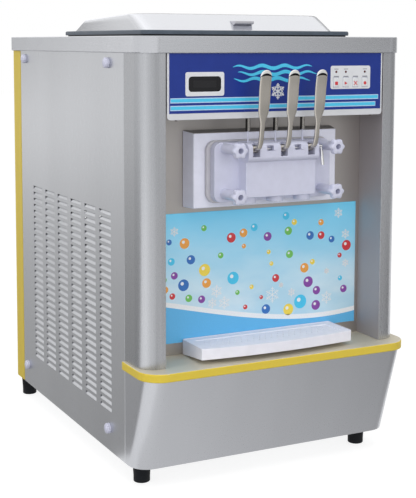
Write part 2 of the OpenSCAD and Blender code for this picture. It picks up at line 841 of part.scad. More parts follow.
// Beater: shaft, two scraper bars and the spokes that carry them
module beater(x) {
    spokes = 5;
    y0 = seal_y + 2;
    y1 = cylinder_rear_y - 10;
    bar_r = cylinder_id / 2 - 5;
    color("white") translate([x, 0, cylinder_z]) {
        rod_y(0, 0, shaft_r, y0, cylinder_rear_y + 30);
        for (side = [-1, 1])
            box([-5, y0 + 4, side > 0 ? bar_r - 4 : -bar_r - 4], [5, y1, side > 0 ? bar_r + 4 : -bar_r + 4]);
        for (i = [0 : spokes - 1]) {
            y = y0 + 10 + i * (y1 - y0 - 24) / (spokes - 1);
            box([-4, y, -bar_r], [4, y + 8, bar_r]);
        }
    }
}

// Two gearmotors, each on a foot that stands on the deck
module gearmotors() {
    y0 = cylinder_rear_y + 6;
    color("dimgray") for (x = cylinders_x) difference() {
        union() {
            box([x - 46, y0, deck_top], [x + 46, y0 + 62, cylinder_z + 44]);
            rod_y(x, cylinder_z, 44, y0 + 60, y0 + 220);
            rod_y(x, cylinder_z, 30, y0 + 219, y0 + 236);
            box([x - 30, y0 + 90, deck_top], [x + 30, y0 + 190, cylinder_z - 30]);
        }
        rod_y(x, cylinder_z, shaft_r + running_fit, y0 - 1, y0 + 30);
    }
}

// ---------- refrigeration ----------

// Hermetic compressor on its foot plate
module compressor() {
    z0 = floor_z;
    shoulder = 30;
    color("black") translate([compressor_x, compressor_y, 0]) {
        translate([-80, -80, z0]) cube([160, 160, 6]);
        translate([0, 0, z0 + 5]) rotate_extrude() {
            square([compressor_r, 150]);
            translate([0, 145]) square([compressor_r - shoulder, 5 + shoulder]);
            intersection() {
                translate([compressor_r - shoulder, 150]) circle(shoulder);
                square([compressor_r, 200]);
            }
        }
        rod_z(60, 0, 8, z0 + 100, z0 + 196);
    }
}

// Finned condenser behind the left side vents
module condenser() {
    fins = 24;
    fin_pitch = (condenser_w - 20) / (fins - 1);
    y0 = fan_y - condenser_w / 2;
    z0 = floor_z;
    z1 = z0 + 65 + condenser_h;
    color("peru") {
        for (y = [y0, y0 + condenser_w - 3])
            box([condenser_x, y, z0], [condenser_x + condenser_d, y + 3, z1]);
        for (i = [0 : fins - 1])
            box([condenser_x + 3, y0 + 9 + i * fin_pitch, z0 + 65],
                [condenser_x + condenser_d - 3, y0 + 10 + i * fin_pitch, z1 - 6]);
        for (row = [0 : coil_rows - 1], x = [condenser_x + 12, condenser_x + condenser_d - 12])
            rod_y(x, coil_z0 + row * coil_pitch, 4.5, y0 - 6, y0 + condenser_w + 6);
    }
}

// Plate with the round air duct of the fan
module fan_shroud() {
    half = condenser_w / 2;
    z0 = floor_z;
    color("gray") difference() {
        union() {
            box([shroud_x, fan_y - half, z0], [shroud_x + 2, fan_y + half, z0 + 65 + condenser_h]);
            rod_x(fan_y, fan_z, 128, shroud_x, shroud_x + 30);
        }
        rod_x(fan_y, fan_z, 125, shroud_x - 1, shroud_x + 31);
    }
}

// Five-bladed fan with its hub
module fan_rotor() {
    blades = 5;
    color("silver") translate([shroud_x, fan_y, fan_z]) {
        difference() {
            rod_x(0, 0, 24, 8, 26);
            rod_x(0, 0, 5 + running_fit, 7, 27);
        }
        for (i = [0 : blades - 1]) rotate([i * 360 / blades, 0, 0])
            translate([17, 0, 20]) rotate([0, 0, 28]) translate([-1, -26, 0]) cube([2, 52, 98]);
    }
}

// Fan motor on its bracket
module fan_motor() {
    x0 = shroud_x + 34;
    z0 = floor_z;
    color("dimgray") {
        rod_x(fan_y, fan_z, 42, x0, x0 + 80);
        rod_x(fan_y, fan_z, 5, shroud_x + 9, x0 + 1);
        box([x0 + 20, fan_y - 25, z0], [x0 + 60, fan_y + 25, fan_z - 30]);
        box([x0 + 5, fan_y - 60, z0], [x0 + 75, fan_y + 60, z0 + 4]);
    }
}

// Tube along a route whose legs each follow X, Y or Z, with round elbows
module pipe(points, r) {
    for (i = [0 : len(points) - 2]) {
        a = points[i];
        b = points[i + 1];
        if (a[0] != b[0]) rod_x(a[1], a[2], r, min(a[0], b[0]), max(a[0], b[0]));
        if (a[1] != b[1]) rod_y(a[0], a[2], r, min(a[1], b[1]), max(a[1], b[1]));
        if (a[2] != b[2]) rod_z(a[0], a[1], r, min(a[2], b[2]), max(a[2], b[2]));
        if (i > 0) translate(a) sphere(r);
    }
}

// Copper pipes between compressor, condenser and cylinders, with the filter drier
module refrigerant_pipes() {
    hot_x = compressor_x + 60;
    hot_y = fan_y + condenser_w / 2 + 20;
    header_z = deck_z - 41;
    coil_x = condenser_x + condenser_d - 12;
    coil_y0 = fan_y - condenser_w / 2 - 6;
    coil_y1 = fan_y + condenser_w / 2 + 6;
    drier_x = condenser_x + 93;
    drier_r = 11;
    drier_h = 100;
    drier_z = floor_z + 158;
    evaporator_z = cylinder_z - cylinder_od / 2;
    return_y = compressor_y - compressor_r - 33;
    return_z = floor_z + 118;
    color("peru") {
        pipe([[hot_x, compressor_y, floor_z + 196], [hot_x, compressor_y, header_z], [hot_x, hot_y, header_z],
              [coil_x, hot_y, header_z], [coil_x, hot_y, coil_z1], [coil_x, coil_y1, coil_z1]], 4);
        pipe([[coil_x, coil_y0, coil_z0], [coil_x, liquid_y, coil_z0],
              [drier_x, liquid_y, coil_z0], [drier_x, liquid_y, header_z],
              [cylinders_x[1], liquid_y, header_z], [cylinders_x[1], liquid_y, evaporator_z]], 3);
        pipe([[cylinders_x[0], liquid_y, header_z], [cylinders_x[0], liquid_y, evaporator_z]], 3);
        rod_z(drier_x, liquid_y, drier_r, drier_z, drier_z + drier_h);
        pipe([[cylinders_x[0], suction_y, evaporator_z], [cylinders_x[0], suction_y, header_z],
              [compressor_x, suction_y, header_z], [compressor_x, return_y, header_z],
              [compressor_x, return_y, return_z], [compressor_x, compressor_y - compressor_r, return_z]], 5);
        pipe([[cylinders_x[1], suction_y, header_z], [cylinders_x[1], suction_y, evaporator_z]], 5);
    }
}

// ---------- fasteners and feet ----------

// Knurled plastic screws that hold the side panels
module side_screws() {
    flutes = 12;
    head_r = 9.6;
    spots = [[side_front_y + 72, cover_z - 18], [side_rear_y - 32, cover_z - 17],
             [side_front_y + 74, floor_z + 40], [side_rear_y - 32, floor_z + 41]];
    color("whitesmoke") for (sx = [-1, 1], spot = spots)
        translate([sx * side_x, spot[0], spot[1]]) rotate([0, sx * 90, 0]) {
            linear_extrude(8) difference() {
                circle(head_r);
                for (i = [0 : flutes - 1])
                    rotate(i * 360 / flutes) translate([head_r + 0.5, 0]) circle(1.1, $fn = 16);
            }
            cylinder(r = head_r - 2.4, h = 9);
        }
}

// Four rubber feet
module feet() {
    spots = [[side_x - 35, side_front_y + 7], [side_x - 21, side_rear_y + 30]];
    color("black") for (sx = [-1, 1], spot = spots) translate([sx * spot[0], spot[1], 0])
        rotate_extrude() polygon([[0, 0], [14, 0], [15, 1.5], [15, 10], [17, foot_h], [0, foot_h]]);
}

base_pan();
frame();
side_panel(-1);  // left_side_panel
side_panel(1);  // right_side_panel
rear_panel();
rear_trims();
pillar(-1);  // left_pillar
pillar(1);  // right_pillar
ledge();
base_front_panel();
recess_back_panel();
poster_panel();
top_cover();
control_panel();
control_housing();
display_bezel();
display_window();
keypad_plate();
indicator_lights();
key_cap(0);  // key_1
key_cap(1);  // key_2
key_cap(2);  // key_3
key_cap(3);  // key_4
front_block();
seal_plate();
dispensing_door();
door_studs();
lever_pin();
hand_knob(-1, 1);  // hand_knob_1
hand_knob(1, 1);  // hand_knob_2
hand_knob(-1, -1);  // hand_knob_3
hand_knob(1, -1);  // hand_knob_4
piston(-outlet_pitch);  // piston_left
piston(0);  // piston_centre
piston(outlet_pitch);  // piston_right
lever(-outlet_pitch);  // lever_left
lever(0);  // lever_centre
lever(outlet_pitch);  // lever_right
switch_rod(-outlet_pitch);  // switch_rod_left
switch_rod(0);  // switch_rod_centre
switch_rod(outlet_pitch);  // switch_rod_right
micro_switches();
drip_tray();
drip_grid();
hoppers();
hopper_lid();
lid_seal();
lid_handle();
cylinders();
beater(-cylinder_pitch / 2);  // beater_left
beater(cylinder_pitch / 2);  // beater_right
gearmotors();
compressor();
condenser();
fan_shroud();
fan_rotor();
fan_motor();
refrigerant_pipes();
side_screws();
feet();
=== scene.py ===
"""Looks of a table-top soft-serve ice cream maker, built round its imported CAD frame.

Metres, in the part's own frame: X to the right seen from the front, Y to the back, Z up.
"""

import json
import math
import random

import bmesh
import bpy
from mathutils import Matrix, Vector

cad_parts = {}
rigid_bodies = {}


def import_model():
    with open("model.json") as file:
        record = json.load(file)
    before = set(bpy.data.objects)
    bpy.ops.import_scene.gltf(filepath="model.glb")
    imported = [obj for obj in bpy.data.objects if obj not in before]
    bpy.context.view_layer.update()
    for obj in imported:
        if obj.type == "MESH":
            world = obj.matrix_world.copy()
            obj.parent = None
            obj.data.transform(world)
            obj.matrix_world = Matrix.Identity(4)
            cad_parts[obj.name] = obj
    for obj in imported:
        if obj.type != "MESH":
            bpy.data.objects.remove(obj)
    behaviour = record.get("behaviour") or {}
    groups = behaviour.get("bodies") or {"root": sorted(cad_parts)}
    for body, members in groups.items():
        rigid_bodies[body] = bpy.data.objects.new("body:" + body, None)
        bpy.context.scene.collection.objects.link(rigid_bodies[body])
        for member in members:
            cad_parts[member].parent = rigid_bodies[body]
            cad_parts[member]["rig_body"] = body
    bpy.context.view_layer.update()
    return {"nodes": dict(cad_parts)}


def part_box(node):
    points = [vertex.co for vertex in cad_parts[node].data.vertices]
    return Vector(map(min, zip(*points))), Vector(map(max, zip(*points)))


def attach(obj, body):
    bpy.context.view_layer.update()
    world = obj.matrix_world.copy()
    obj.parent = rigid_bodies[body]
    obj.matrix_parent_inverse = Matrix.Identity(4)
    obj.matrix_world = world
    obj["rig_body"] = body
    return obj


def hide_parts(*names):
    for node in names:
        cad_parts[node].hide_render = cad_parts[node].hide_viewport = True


MM = 0.001
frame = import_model()
NODES = frame["nodes"]
MATERIALS = {}
WELD = 0.001 * MM  # points closer than this are one
SQUARE_ON = 0.9  # a normal with more than this along an axis looks that way
PRINT = 0.1 * MM  # thickness of a printed layer
FLAT, BEVELLED, CREASED = math.radians(0.4), math.radians(35), math.radians(38)  # angles between faces


# ---------- camera ----------

def make_camera():
    """The photograph's view: focal length and principal point are in pixels of a 416 x 498 image."""
    focal, centre_x, centre_y = 1157.7, 208.0, 160.0
    width, height = 416, 498
    yaw, pitch, roll = math.radians(26.924), math.radians(5.757), math.radians(0.171)
    place = (-1.03735, -2.08899, 0.78267)
    forward = Vector((math.sin(yaw) * math.cos(pitch), math.cos(yaw) * math.cos(pitch), -math.sin(pitch)))
    level_right = Vector((math.cos(yaw), -math.sin(yaw), 0))
    level_up = level_right.cross(forward)
    right = math.cos(roll) * level_right + math.sin(roll) * level_up
    up = math.cos(roll) * level_up - math.sin(roll) * level_right
    data = bpy.data.cameras.new("camera")
    data.sensor_width = 36
    data.lens = focal * data.sensor_width / height
    data.shift_x = (width / 2 - centre_x) / height
    data.shift_y = (centre_y - height / 2) / height
    camera = bpy.data.objects.new("camera", data)
    rotation = Matrix((right, up, -forward)).transposed().to_4x4()
    camera.matrix_world = Matrix.Translation(place) @ rotation
    bpy.context.scene.collection.objects.link(camera)
    bpy.context.scene.camera = camera


# ---------- materials ----------

BROAD, BRUSHED = 9, 1400  # steel's streaks and its brushing, in features to a metre
GRAIN_DEPTH, PEEL_DEPTH, SKIN_DEPTH = 0.02 * MM, 0.03 * MM, 0.05 * MM
UPRIGHT, LEVEL = (1, 1, 30), (30, 1, 1)


def shade(colour, factor):
    """The colour at so much of its brightness."""
    return tuple(min(1.0, c * factor) for c in colour)


class Paint:
    """A node material under construction, with short names for the nodes it is made of."""

    def __init__(self, name):
        material = MATERIALS[name] = bpy.data.materials.new(name)
        material.use_nodes = True
        self.tree = material.node_tree
        self.shader = self.tree.nodes["Principled BSDF"]
        self.coords = self.tree.nodes.new("ShaderNodeTexCoord").outputs["Object"]

    def set(self, **values):
        """Sets sockets of the shader, with _ for a space in the socket's name."""
        for name, value in values.items():
            self.shader.inputs[name.replace("_", " ")].default_value = value
        return self

    def link(self, source, socket):
        self.tree.links.new(source, self.shader.inputs[socket])

    def noise(self, scale, stretch=(1, 1, 1), detail=3.0):
        """Noise of so many features to a metre, divided along each axis by stretch."""
        mapping = self.tree.nodes.new("ShaderNodeMapping")
        mapping.inputs["Scale"].default_value = [scale / s for s in stretch]
        texture = self.tree.nodes.new("ShaderNodeTexNoise")
        texture.inputs["Scale"].default_value = 1.0
        texture.inputs["Detail"].default_value = detail
        self.tree.links.new(self.coords, mapping.inputs["Vector"])
        self.tree.links.new(mapping.outputs["Vector"], texture.inputs["Vector"])
        return texture.outputs["Fac"]

    def span(self, value, low, high, source=(0.3, 0.7)):
        """Maps value from the source range to low...high."""
        node = self.tree.nodes.new("ShaderNodeMapRange")
        node.inputs["From Min"].default_value = source[0]
        node.inputs["From Max"].default_value = source[1]
        node.inputs["To Min"].default_value = low
        node.inputs["To Max"].default_value = high
        self.tree.links.new(value, node.inputs["Value"])
        return node.outputs["Result"]

    def mix(self, factor, a, b):
        """Colour that goes from a to b; each is a colour or a socket."""
        node = self.tree.nodes.new("ShaderNodeMix")
        node.data_type = "RGBA"
        self.tree.links.new(factor, node.inputs["Factor"])
        for value, socket in ((a, node.inputs[6]), (b, node.inputs[7])):
            if isinstance(value, tuple):
                socket.default_value = (*value, 1)
            else:
                self.tree.links.new(value, socket)
        return node.outputs[2]

    def axis(self, index):
        """One of the object's own coordinates: 0, 1 or 2 for X, Y or Z."""
        node = self.tree.nodes.new("ShaderNodeSeparateXYZ")
        self.tree.links.new(self.coords, node.inputs["Vector"])
        return node.outputs[index]

    def mottle(self, pattern, colour, share):
        """Base colour that goes by a pattern from a share darker than colour to a share lighter."""
        ends = shade(colour, 1 - share), shade(colour, 1 + share)
        self.link(self.mix(self.span(pattern, 0, 1), *ends), "Base Color")

    def polish(self, pattern, low, high):
        """Roughness that goes by a pattern from low to high."""
        self.link(self.span(pattern, low, high), "Roughness")

    def bump(self, height, distance, strength):
        node = self.tree.nodes.new("ShaderNodeBump")
        node.inputs["Strength"].default_value = strength
        node.inputs["Distance"].default_value = distance
        self.tree.links.new(height, node.inputs["Height"])
        self.link(node.outputs["Normal"], "Normal")


def steel(name, colour, roughness, grain=UPRIGHT, streaks=0.04, metallic=1.0, relief=0.08):
    """Brushed or satin sheet: fine grain along one axis, broad faint streaks, uneven polish."""
    paint = Paint(name).set(Metallic=metallic)
    fine = paint.noise(BRUSHED, grain, 2.0)
    paint.mottle(paint.noise(BROAD, grain, 2.0), colour, streaks)
    paint.polish(fine, roughness - 0.03, roughness + 0.03)
    paint.bump(fine, GRAIN_DEPTH, relief)


def plastic(name, colour, roughness, mottle=0.03, coat=0.0, specular=0.5):
    """Moulded plastic: faint mottling and a fine orange-peel surface."""
    paint = Paint(name).set(Coat_Weight=coat, Coat_Roughness=0.12, Specular_IOR_Level=specular)
    peel = paint.noise(900, detail=2.0)
    paint.mottle(paint.noise(60, detail=4.0), colour, mottle)
    paint.polish(peel, roughness - 0.04, roughness + 0.05)
    paint.bump(peel, PEEL_DEPTH, 0.35)


def rubber(name, colour, roughness=0.6):
    """Moulded rubber with a matt, slightly dusty skin."""
    paint = Paint(name).set(Specular_IOR_Level=0.2)
    dust = paint.noise(45, detail=5.0)
    paint.link(paint.mix(paint.span(dust, 0, 1), colour, shade(colour, 1.35)), "Base Color")
    paint.polish(dust, roughness, roughness + 0.15)
    paint.bump(paint.noise(1300, detail=2.0), SKIN_DEPTH, 0.4)


def seal_rubber():
    """Slate-coloured lid gasket with a black lower rim."""
    rim, blur = 3.5 * MM, 0.3 * MM
    rim_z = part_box("lid_seal")[0].z + rim
    paint = Paint("seal_rubber")
    dust = paint.noise(45, detail=5.0)
    slate = paint.mix(paint.span(dust, 0, 1), (0.050, 0.068, 0.092), (0.070, 0.092, 0.122))
    above = paint.span(paint.axis(2), 0, 1, (rim_z - blur, rim_z + blur))
    paint.link(paint.mix(above, (0.008, 0.008, 0.009), slate), "Base Color")
    paint.polish(dust, 0.42, 0.55)
    paint.bump(paint.noise(1300, detail=2.0), SKIN_DEPTH, 0.4)


def facing_sideways(paint):
    """X of the surface's own normal: -1 for faces that look to the left, 1 for those to the right."""
    split = paint.tree.nodes.new("ShaderNodeSeparateXYZ")
    coords = paint.tree.nodes.new("ShaderNodeTexCoord")
    paint.tree.links.new(coords.outputs["Normal"], split.inputs["Vector"])
    return split.outputs["X"]


def turned_steel(name, colour, turns, roughness, grain, both_sides=True):
    """Brushed sheet with shading painted into its colour, fitted to the photograph's view.

    turns has pairs of how far a face turns, from the front (0) to the side (1), and its brightness.
    Without both_sides only the turn to the left counts and a right-hand side keeps the front's colour.
    """
    paint = Paint(name).set(Metallic=1.0)
    sideways = paint.tree.nodes.new("ShaderNodeMath")
    sideways.operation = "ABSOLUTE" if both_sides else "MULTIPLY"
    sideways.inputs[1].default_value = -1
    paint.tree.links.new(facing_sideways(paint), sideways.inputs[0])
    ramp = paint.tree.nodes.new("ShaderNodeValToRGB")
    for index, (turn, brightness) in enumerate(turns):
        stop = ramp.color_ramp.elements[index] if index < 2 else ramp.color_ramp.elements.new(turn)
        stop.position = turn
        stop.color = (*shade(colour, brightness), 1)
    paint.tree.links.new(sideways.outputs["Value"], ramp.inputs["Fac"])
    fine = paint.noise(BRUSHED, grain, 2.0)
    paint.link(paint.mix(paint.span(fine, 0, 0.06), ramp.outputs["Color"], shade(colour, 0.8)), "Base Color")
    paint.polish(fine, roughness - 0.03, roughness + 0.03)
    paint.bump(fine, GRAIN_DEPTH, 0.08)


def rod_steel():
    """Polished grey rod with a dark reflection band painted along its left side."""
    paint = Paint("rod_steel").set(Metallic=1.0)
    painted_reflection_mask = paint.span(facing_sideways(paint), 0, 1, (-0.62, -0.36))
    paint.link(paint.mix(painted_reflection_mask, (0.035, 0.033, 0.032), (0.36, 0.345, 0.325)), "Base Color")
    paint.polish(paint.noise(BRUSHED, (1, 1, 12), 2.0), 0.20, 0.30)


def lever_chrome():
    """Polished steel, with a painted highlight cap over a painted dark reflection crescent at each lever's
    tip.
    """
    dark_reflection_drop, dark_reflection_r = 26.4 * MM, 27.8 * MM
    highlight_drop, highlight_r = 8.0 * MM, 13.6 * MM
    blur = 0.2 * MM
    low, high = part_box("lever_centre")
    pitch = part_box("lever_right")[0].x - low.x
    tip_z = high.z - (high.x - low.x) / 2
    paint = Paint("lever_chrome").set(Metallic=1.0)

    def math_node(operation, *inputs):
        node = paint.tree.nodes.new("ShaderNodeMath")
        node.operation = operation
        for value, socket in zip(inputs, node.inputs):
            if isinstance(value, float):
                socket.default_value = value
            else:
                paint.tree.links.new(value, socket)
        return node.outputs["Value"]

    across = math_node("WRAP", paint.axis(0), pitch / 2, -pitch / 2)

    def above_arc(drop, radius):
        """1 above an arc that is centred drop below the centre of the round tip."""
        up = math_node("SUBTRACT", paint.axis(2), tip_z - drop)
        square = math_node("ADD", math_node("MULTIPLY", across, across), math_node("MULTIPLY", up, up))
        return paint.span(math_node("SQRT", square), 0, 1, (radius - blur, radius + blur))

    broad = paint.noise(BROAD, (1, 1, 12), 2.0)
    fine = paint.noise(BRUSHED, (1, 1, 12), 2.0)
    colour = paint.mix(paint.span(broad, 0, 1), (0.47, 0.44, 0.40), (0.53, 0.50, 0.46))
    at_tip = paint.span(paint.axis(2), 0, 1, (tip_z - 1.0 * MM, tip_z + 0.5 * MM))
    painted_dark_reflection = math_node("MULTIPLY", above_arc(dark_reflection_drop, dark_reflection_r), at_tip)
    with_dark_reflection = paint.mix(painted_dark_reflection, colour, (0.03, 0.028, 0.03))
    # cap is the painted highlight that sits over the painted dark reflection.
    cap = math_node("MULTIPLY", above_arc(highlight_drop, highlight_r), painted_dark_reflection)
    paint.link(paint.mix(cap, with_dark_reflection, (0.95, 0.94, 0.93)), "Base Color")
    paint.polish(fine, 0.16, 0.26)
    paint.bump(fine, GRAIN_DEPTH, 0.5)


def poster_sky():
    """Printed film: deep sky blue at the top that pales towards the middle, with a soft cloud haze."""
    low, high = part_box("poster_panel")
    pale_z = low.z + 70 * MM
    paint = Paint("poster_sky").set(Roughness=0.32, Coat_Weight=0.3, Coat_Roughness=0.15)
    height = paint.span(paint.axis(2), 0, 1, (pale_z, high.z))
    haze = paint.noise(14, (2.5, 1, 1), 4.0)
    pale = paint.mix(paint.span(haze, 0, 1, (0.4, 0.65)), (0.46, 0.71, 0.86), (0.70, 0.84, 0.92))
    paint.link(paint.mix(height, pale, (0.18, 0.68, 0.98)), "Base Color")


def ink(name, colour):
    """Printed colour with the faint unevenness of screen print."""
    paint = Paint(name)
    grain = paint.noise(500)
    paint.mottle(grain, colour, 0.05)
    paint.polish(grain, 0.32, 0.39)


# Painted reflection bands for the pillars' fronts and outsides: brightness by how far a face turns to the
# left.
PILLAR_PAINTED_REFLECTION = ((0.0, 1.0), (0.08, 0.97), (0.26, 0.70), (0.50, 0.84), (0.70, 1.05), (0.87, 0.98),
                (0.97, 0.84), (1.0, 0.79))
# Painted shading for the lid: a painted highlight on its round front corners and painted shade on its
# upright sides.
LID_PAINTED_SHADING = ((0.0, 1.0), (0.30, 1.035), (0.55, 1.18), (0.80, 0.88), (1.0, 0.68))
INKS = {
    "poster_blue": (0.115, 0.46, 0.80),
    "ink_white": (0.84, 0.86, 0.88),
    "ink_cyan": (0.060, 0.56, 0.84),
    "ink_pale": (0.45, 0.62, 0.84),
    "ink_red": (0.62, 0.035, 0.045),
    "ink_grey": (0.22, 0.23, 0.27),
    "ink_green": (0.16, 0.52, 0.10),
    "ink_purple": (0.24, 0.06, 0.36),
    "ink_orange": (0.85, 0.36, 0.06),
    "ink_yellow": (0.88, 0.68, 0.08),
    "ink_deep": (0.03, 0.16, 0.50),
}


def make_materials():
    steel("satin_steel", (0.55, 0.56, 0.585), 0.30, streaks=0.02)
    # Pillar steel with painted reflection bands, dark and bright, across its round corners.
    turned_steel("pillar_steel_painted_reflection", (0.49, 0.50, 0.525), PILLAR_PAINTED_REFLECTION, 0.28, UPRIGHT, both_sides=False)
    # Darker, duller steel on the pillars' inward faces: painted shade of the recess.
    steel("wall_steel_painted_shade", (0.44, 0.41, 0.42), 0.62, (1, 1, 14), 0.05, 0.6)
    steel("base_steel", (0.52, 0.53, 0.56), 0.30, streaks=0.02, relief=0.1)
    steel("cover_steel", (0.56, 0.57, 0.60), 0.26, LEVEL, 0.02)
    turned_steel("lid_steel", (0.80, 0.81, 0.845), LID_PAINTED_SHADING, 0.23, LEVEL)
    steel("grip_steel", (0.62, 0.62, 0.66), 0.30, LEVEL, 0.02)
    steel("ledge_steel", (0.74, 0.69, 0.56), 0.50, LEVEL, 0.03, 0.5, 0.05)
    steel("recess_steel", (0.50, 0.475, 0.455), 0.46, (1, 1, 14), 0.05)
    steel("frame_steel", (0.38, 0.39, 0.41), 0.45, (3, 3, 3), 0.12)
    steel("hopper_steel", (0.62, 0.62, 0.64), 0.28)
    plastic("gold", (0.75, 0.57, 0.065), 0.42, mottle=0.02, specular=0.2)
    # Very dark steel for the door studs and the panel screws: painted shade of the knobs' bores and of the
    # space under the panel's lip.
    steel("stud_steel", (0.10, 0.075, 0.065), 0.35, (1, 12, 1), 0.05)
    lever_chrome()
    rod_steel()
    steel("bright_chrome", (0.78, 0.78, 0.78), 0.10, (1, 1, 1), 0.02)
    steel("copper", (0.72, 0.36, 0.20), 0.30, (1, 1, 1), 0.12)
    steel("fins", (0.62, 0.62, 0.63), 0.35, (1, 1, 8))
    plastic("white", (0.63, 0.64, 0.78), 0.36)
    # Brighter copy of the white plastic for the front block: painted light against the recess's shade.
    plastic("block_white_painted_light", (0.82, 0.83, 0.95), 0.42)
    plastic("tray_white", (0.86, 0.86, 0.94), 0.5, specular=0.2)
    # Dark plastic on the front block's top face: painted shadow of the control housing.
    plastic("block_top_painted_shadow", (0.30, 0.28, 0.27), 0.5)
    plastic("seal_grey", (0.55, 0.54, 0.58), 0.42)
    plastic("key_white", (0.72, 0.73, 0.76), 0.40)
    plastic("border", (0.66, 0.67, 0.70), 0.32, 0.02)
    plastic("panel_blue", (0.013, 0.036, 0.250), 0.34, 0.04, 0.0, 0.25)
    plastic("window", (0.006, 0.006, 0.008), 0.22, 0.2, 0.0, 0.3)
    plastic("window_rim", (0.012, 0.012, 0.014), 0.35, 0.1, 0.0, 0.3)
    plastic("lens", (0.10, 0.006, 0.010), 0.12, 0.1, 0.6)
    plastic("switch", (0.05, 0.05, 0.055), 0.5)
    plastic("motor_paint", (0.10, 0.12, 0.16), 0.42, 0.08)
    plastic("compressor_paint", (0.012, 0.012, 0.014), 0.28, 0.1, 0.3)
    rubber("foot_rubber", (0.005, 0.006, 0.008))
    rubber("gland", (0.015, 0.015, 0.016), 0.45)
    seal_rubber()
    poster_sky()
    for name, colour in INKS.items():
        ink(name, colour)


# ---------- shared mesh code ----------

def add_piece(name, bm, materials, body, replaces=()):
    """Makes an object of the bmesh, lets it ride on a body and hides the nodes it replaces."""
    bmesh.ops.remove_doubles(bm, verts=bm.verts, dist=WELD)
    bmesh.ops.recalc_face_normals(bm, faces=bm.faces)
    mesh = bpy.data.meshes.new(name)
    bm.to_mesh(mesh)
    bm.free()
    mesh.shade_smooth()
    mesh.set_sharp_from_angle(angle=CREASED)
    for material in [materials] if isinstance(materials, str) else materials:
        mesh.materials.append(MATERIALS[material])
    piece = bpy.data.objects.new(name, mesh)
    bpy.context.scene.collection.objects.link(piece)
    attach(piece, body)
    if replaces:
        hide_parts(*replaces)
    return piece


def round_edges(piece, width, segments):
    """Rounds the sharp edges, and lets the flats keep their own normals."""
    bevel = piece.modifiers.new("rounded", "BEVEL")
    bevel.width = width
    bevel.segments = segments
    bevel.limit_method = "ANGLE"
    bevel.angle_limit = BEVELLED
    bevel.use_clamp_overlap = False
    bevel.loop_slide = False  # sliding tears the plates that have holes
    bevel.miter_outer = "MITER_ARC"
    weighted = piece.modifiers.new("weighted", "WEIGHTED_NORMAL")
    weighted.keep_sharp = True


def refined(node, material, width, segments=3, choose=None, merge_flats=True):
    """A copy of a node's own shape as a piece, welded and with rounded edges.

    choose gives the material's index for a face's centre and normal where there are several.
    merge_flats joins coplanar triangles, which plates with openings can't have.
    """
    bm = bmesh.new()
    bm.from_mesh(NODES[node].data)
    bmesh.ops.remove_doubles(bm, verts=bm.verts, dist=2 * WELD)
    if merge_flats:
        bmesh.ops.dissolve_limit(bm, angle_limit=FLAT, verts=bm.verts, edges=bm.edges)
    if choose:
        for face in bm.faces:
            face.material_index = choose(face.calc_center_median(), face.normal)
    body = NODES[node]["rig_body"]
    piece = add_piece(node + "_skin", bm, material, body, [node])
    round_edges(piece, width, segments)


def top_faces(centre, normal):
    """Material 1 for the faces that look up, and 0 for the rest."""
    return 1 if normal.z > SQUARE_ON else 0


def loft(bm, rings, caps=(True, True)):
    """Skins a row of closed rings that have the same number of points, and caps its ends."""
    loops = [[bm.verts.new(p) for p in ring] for ring in rings]
    count = len(loops[0])
    for a, b in zip(loops, loops[1:]):
        for i in range(count):
            bm.faces.new((a[i], a[(i + 1) % count], b[(i + 1) % count], b[i]))
    for loop, cap in ((loops[0], caps[0]), (loops[-1], caps[1])):
        if cap:
            bm.faces.new(loop)


def ring_y(centre, y, radius, count):
    """Circle round the Y axis; radius is a number or a function of the angle."""
    points = []
    for i in range(count):
        angle = 2 * math.pi * i / count
        r = radius(angle) if callable(radius) else radius
        points.append((centre[0] + r * math.cos(angle), y, centre[1] + r * math.sin(angle)))
    return points


def prism(bm, outline, y, depth, material=0):
    """A flat shape in X and Z, from y to y + depth."""
    front = [bm.verts.new((x, y, z)) for x, z in outline]
    back = [bm.verts.new((x, y + depth, z)) for x, z in outline]
    count = len(outline)
    bm.faces.new(front).material_index = material
    bm.faces.new(back[::-1]).material_index = material
    for i in range(count):
        j = (i + 1) % count
        bm.faces.new((front[i], back[i], back[j], front[j])).material_index = material


def rectangle(x0, x1, z0, z1, radius=0.0):
    """Outline of a rectangle in X and Z, with round corners where radius is more than 0."""
    if radius == 0:
        return [(x0, z0), (x1, z0), (x1, z1), (x0, z1)]
    steps = 4
    points = []
    corners = ((x1 - radius, z1 - radius), (x0 + radius, z1 - radius),
               (x0 + radius, z0 + radius), (x1 - radius, z0 + radius))
    for quarter, (cx, cz) in enumerate(corners):
        for step in range(steps + 1):
            angle = math.pi / 2 * (quarter + step / steps)
            points.append((cx + radius * math.cos(angle), cz + radius * math.sin(angle)))
    return points


def disc(x, z, radius, count=24):
    """Outline of a round shape in X and Z."""
    return [(x + radius * math.cos(2 * math.pi * i / count), z + radius * math.sin(2 * math.pi * i / count))
            for i in range(count)]


def bar(x0, z0, x1, z1, width):
    """Outline of a straight bar between two points."""
    along = Vector((x1 - x0, z1 - z0)).normalized() * width / 2
    side = Vector((-along.y, along.x))
    start, end = Vector((x0, z0)) - along, Vector((x1, z1)) + along
    return [tuple(p) for p in (start - side, end - side, end + side, start + side)]


# ---------- cabinet ----------

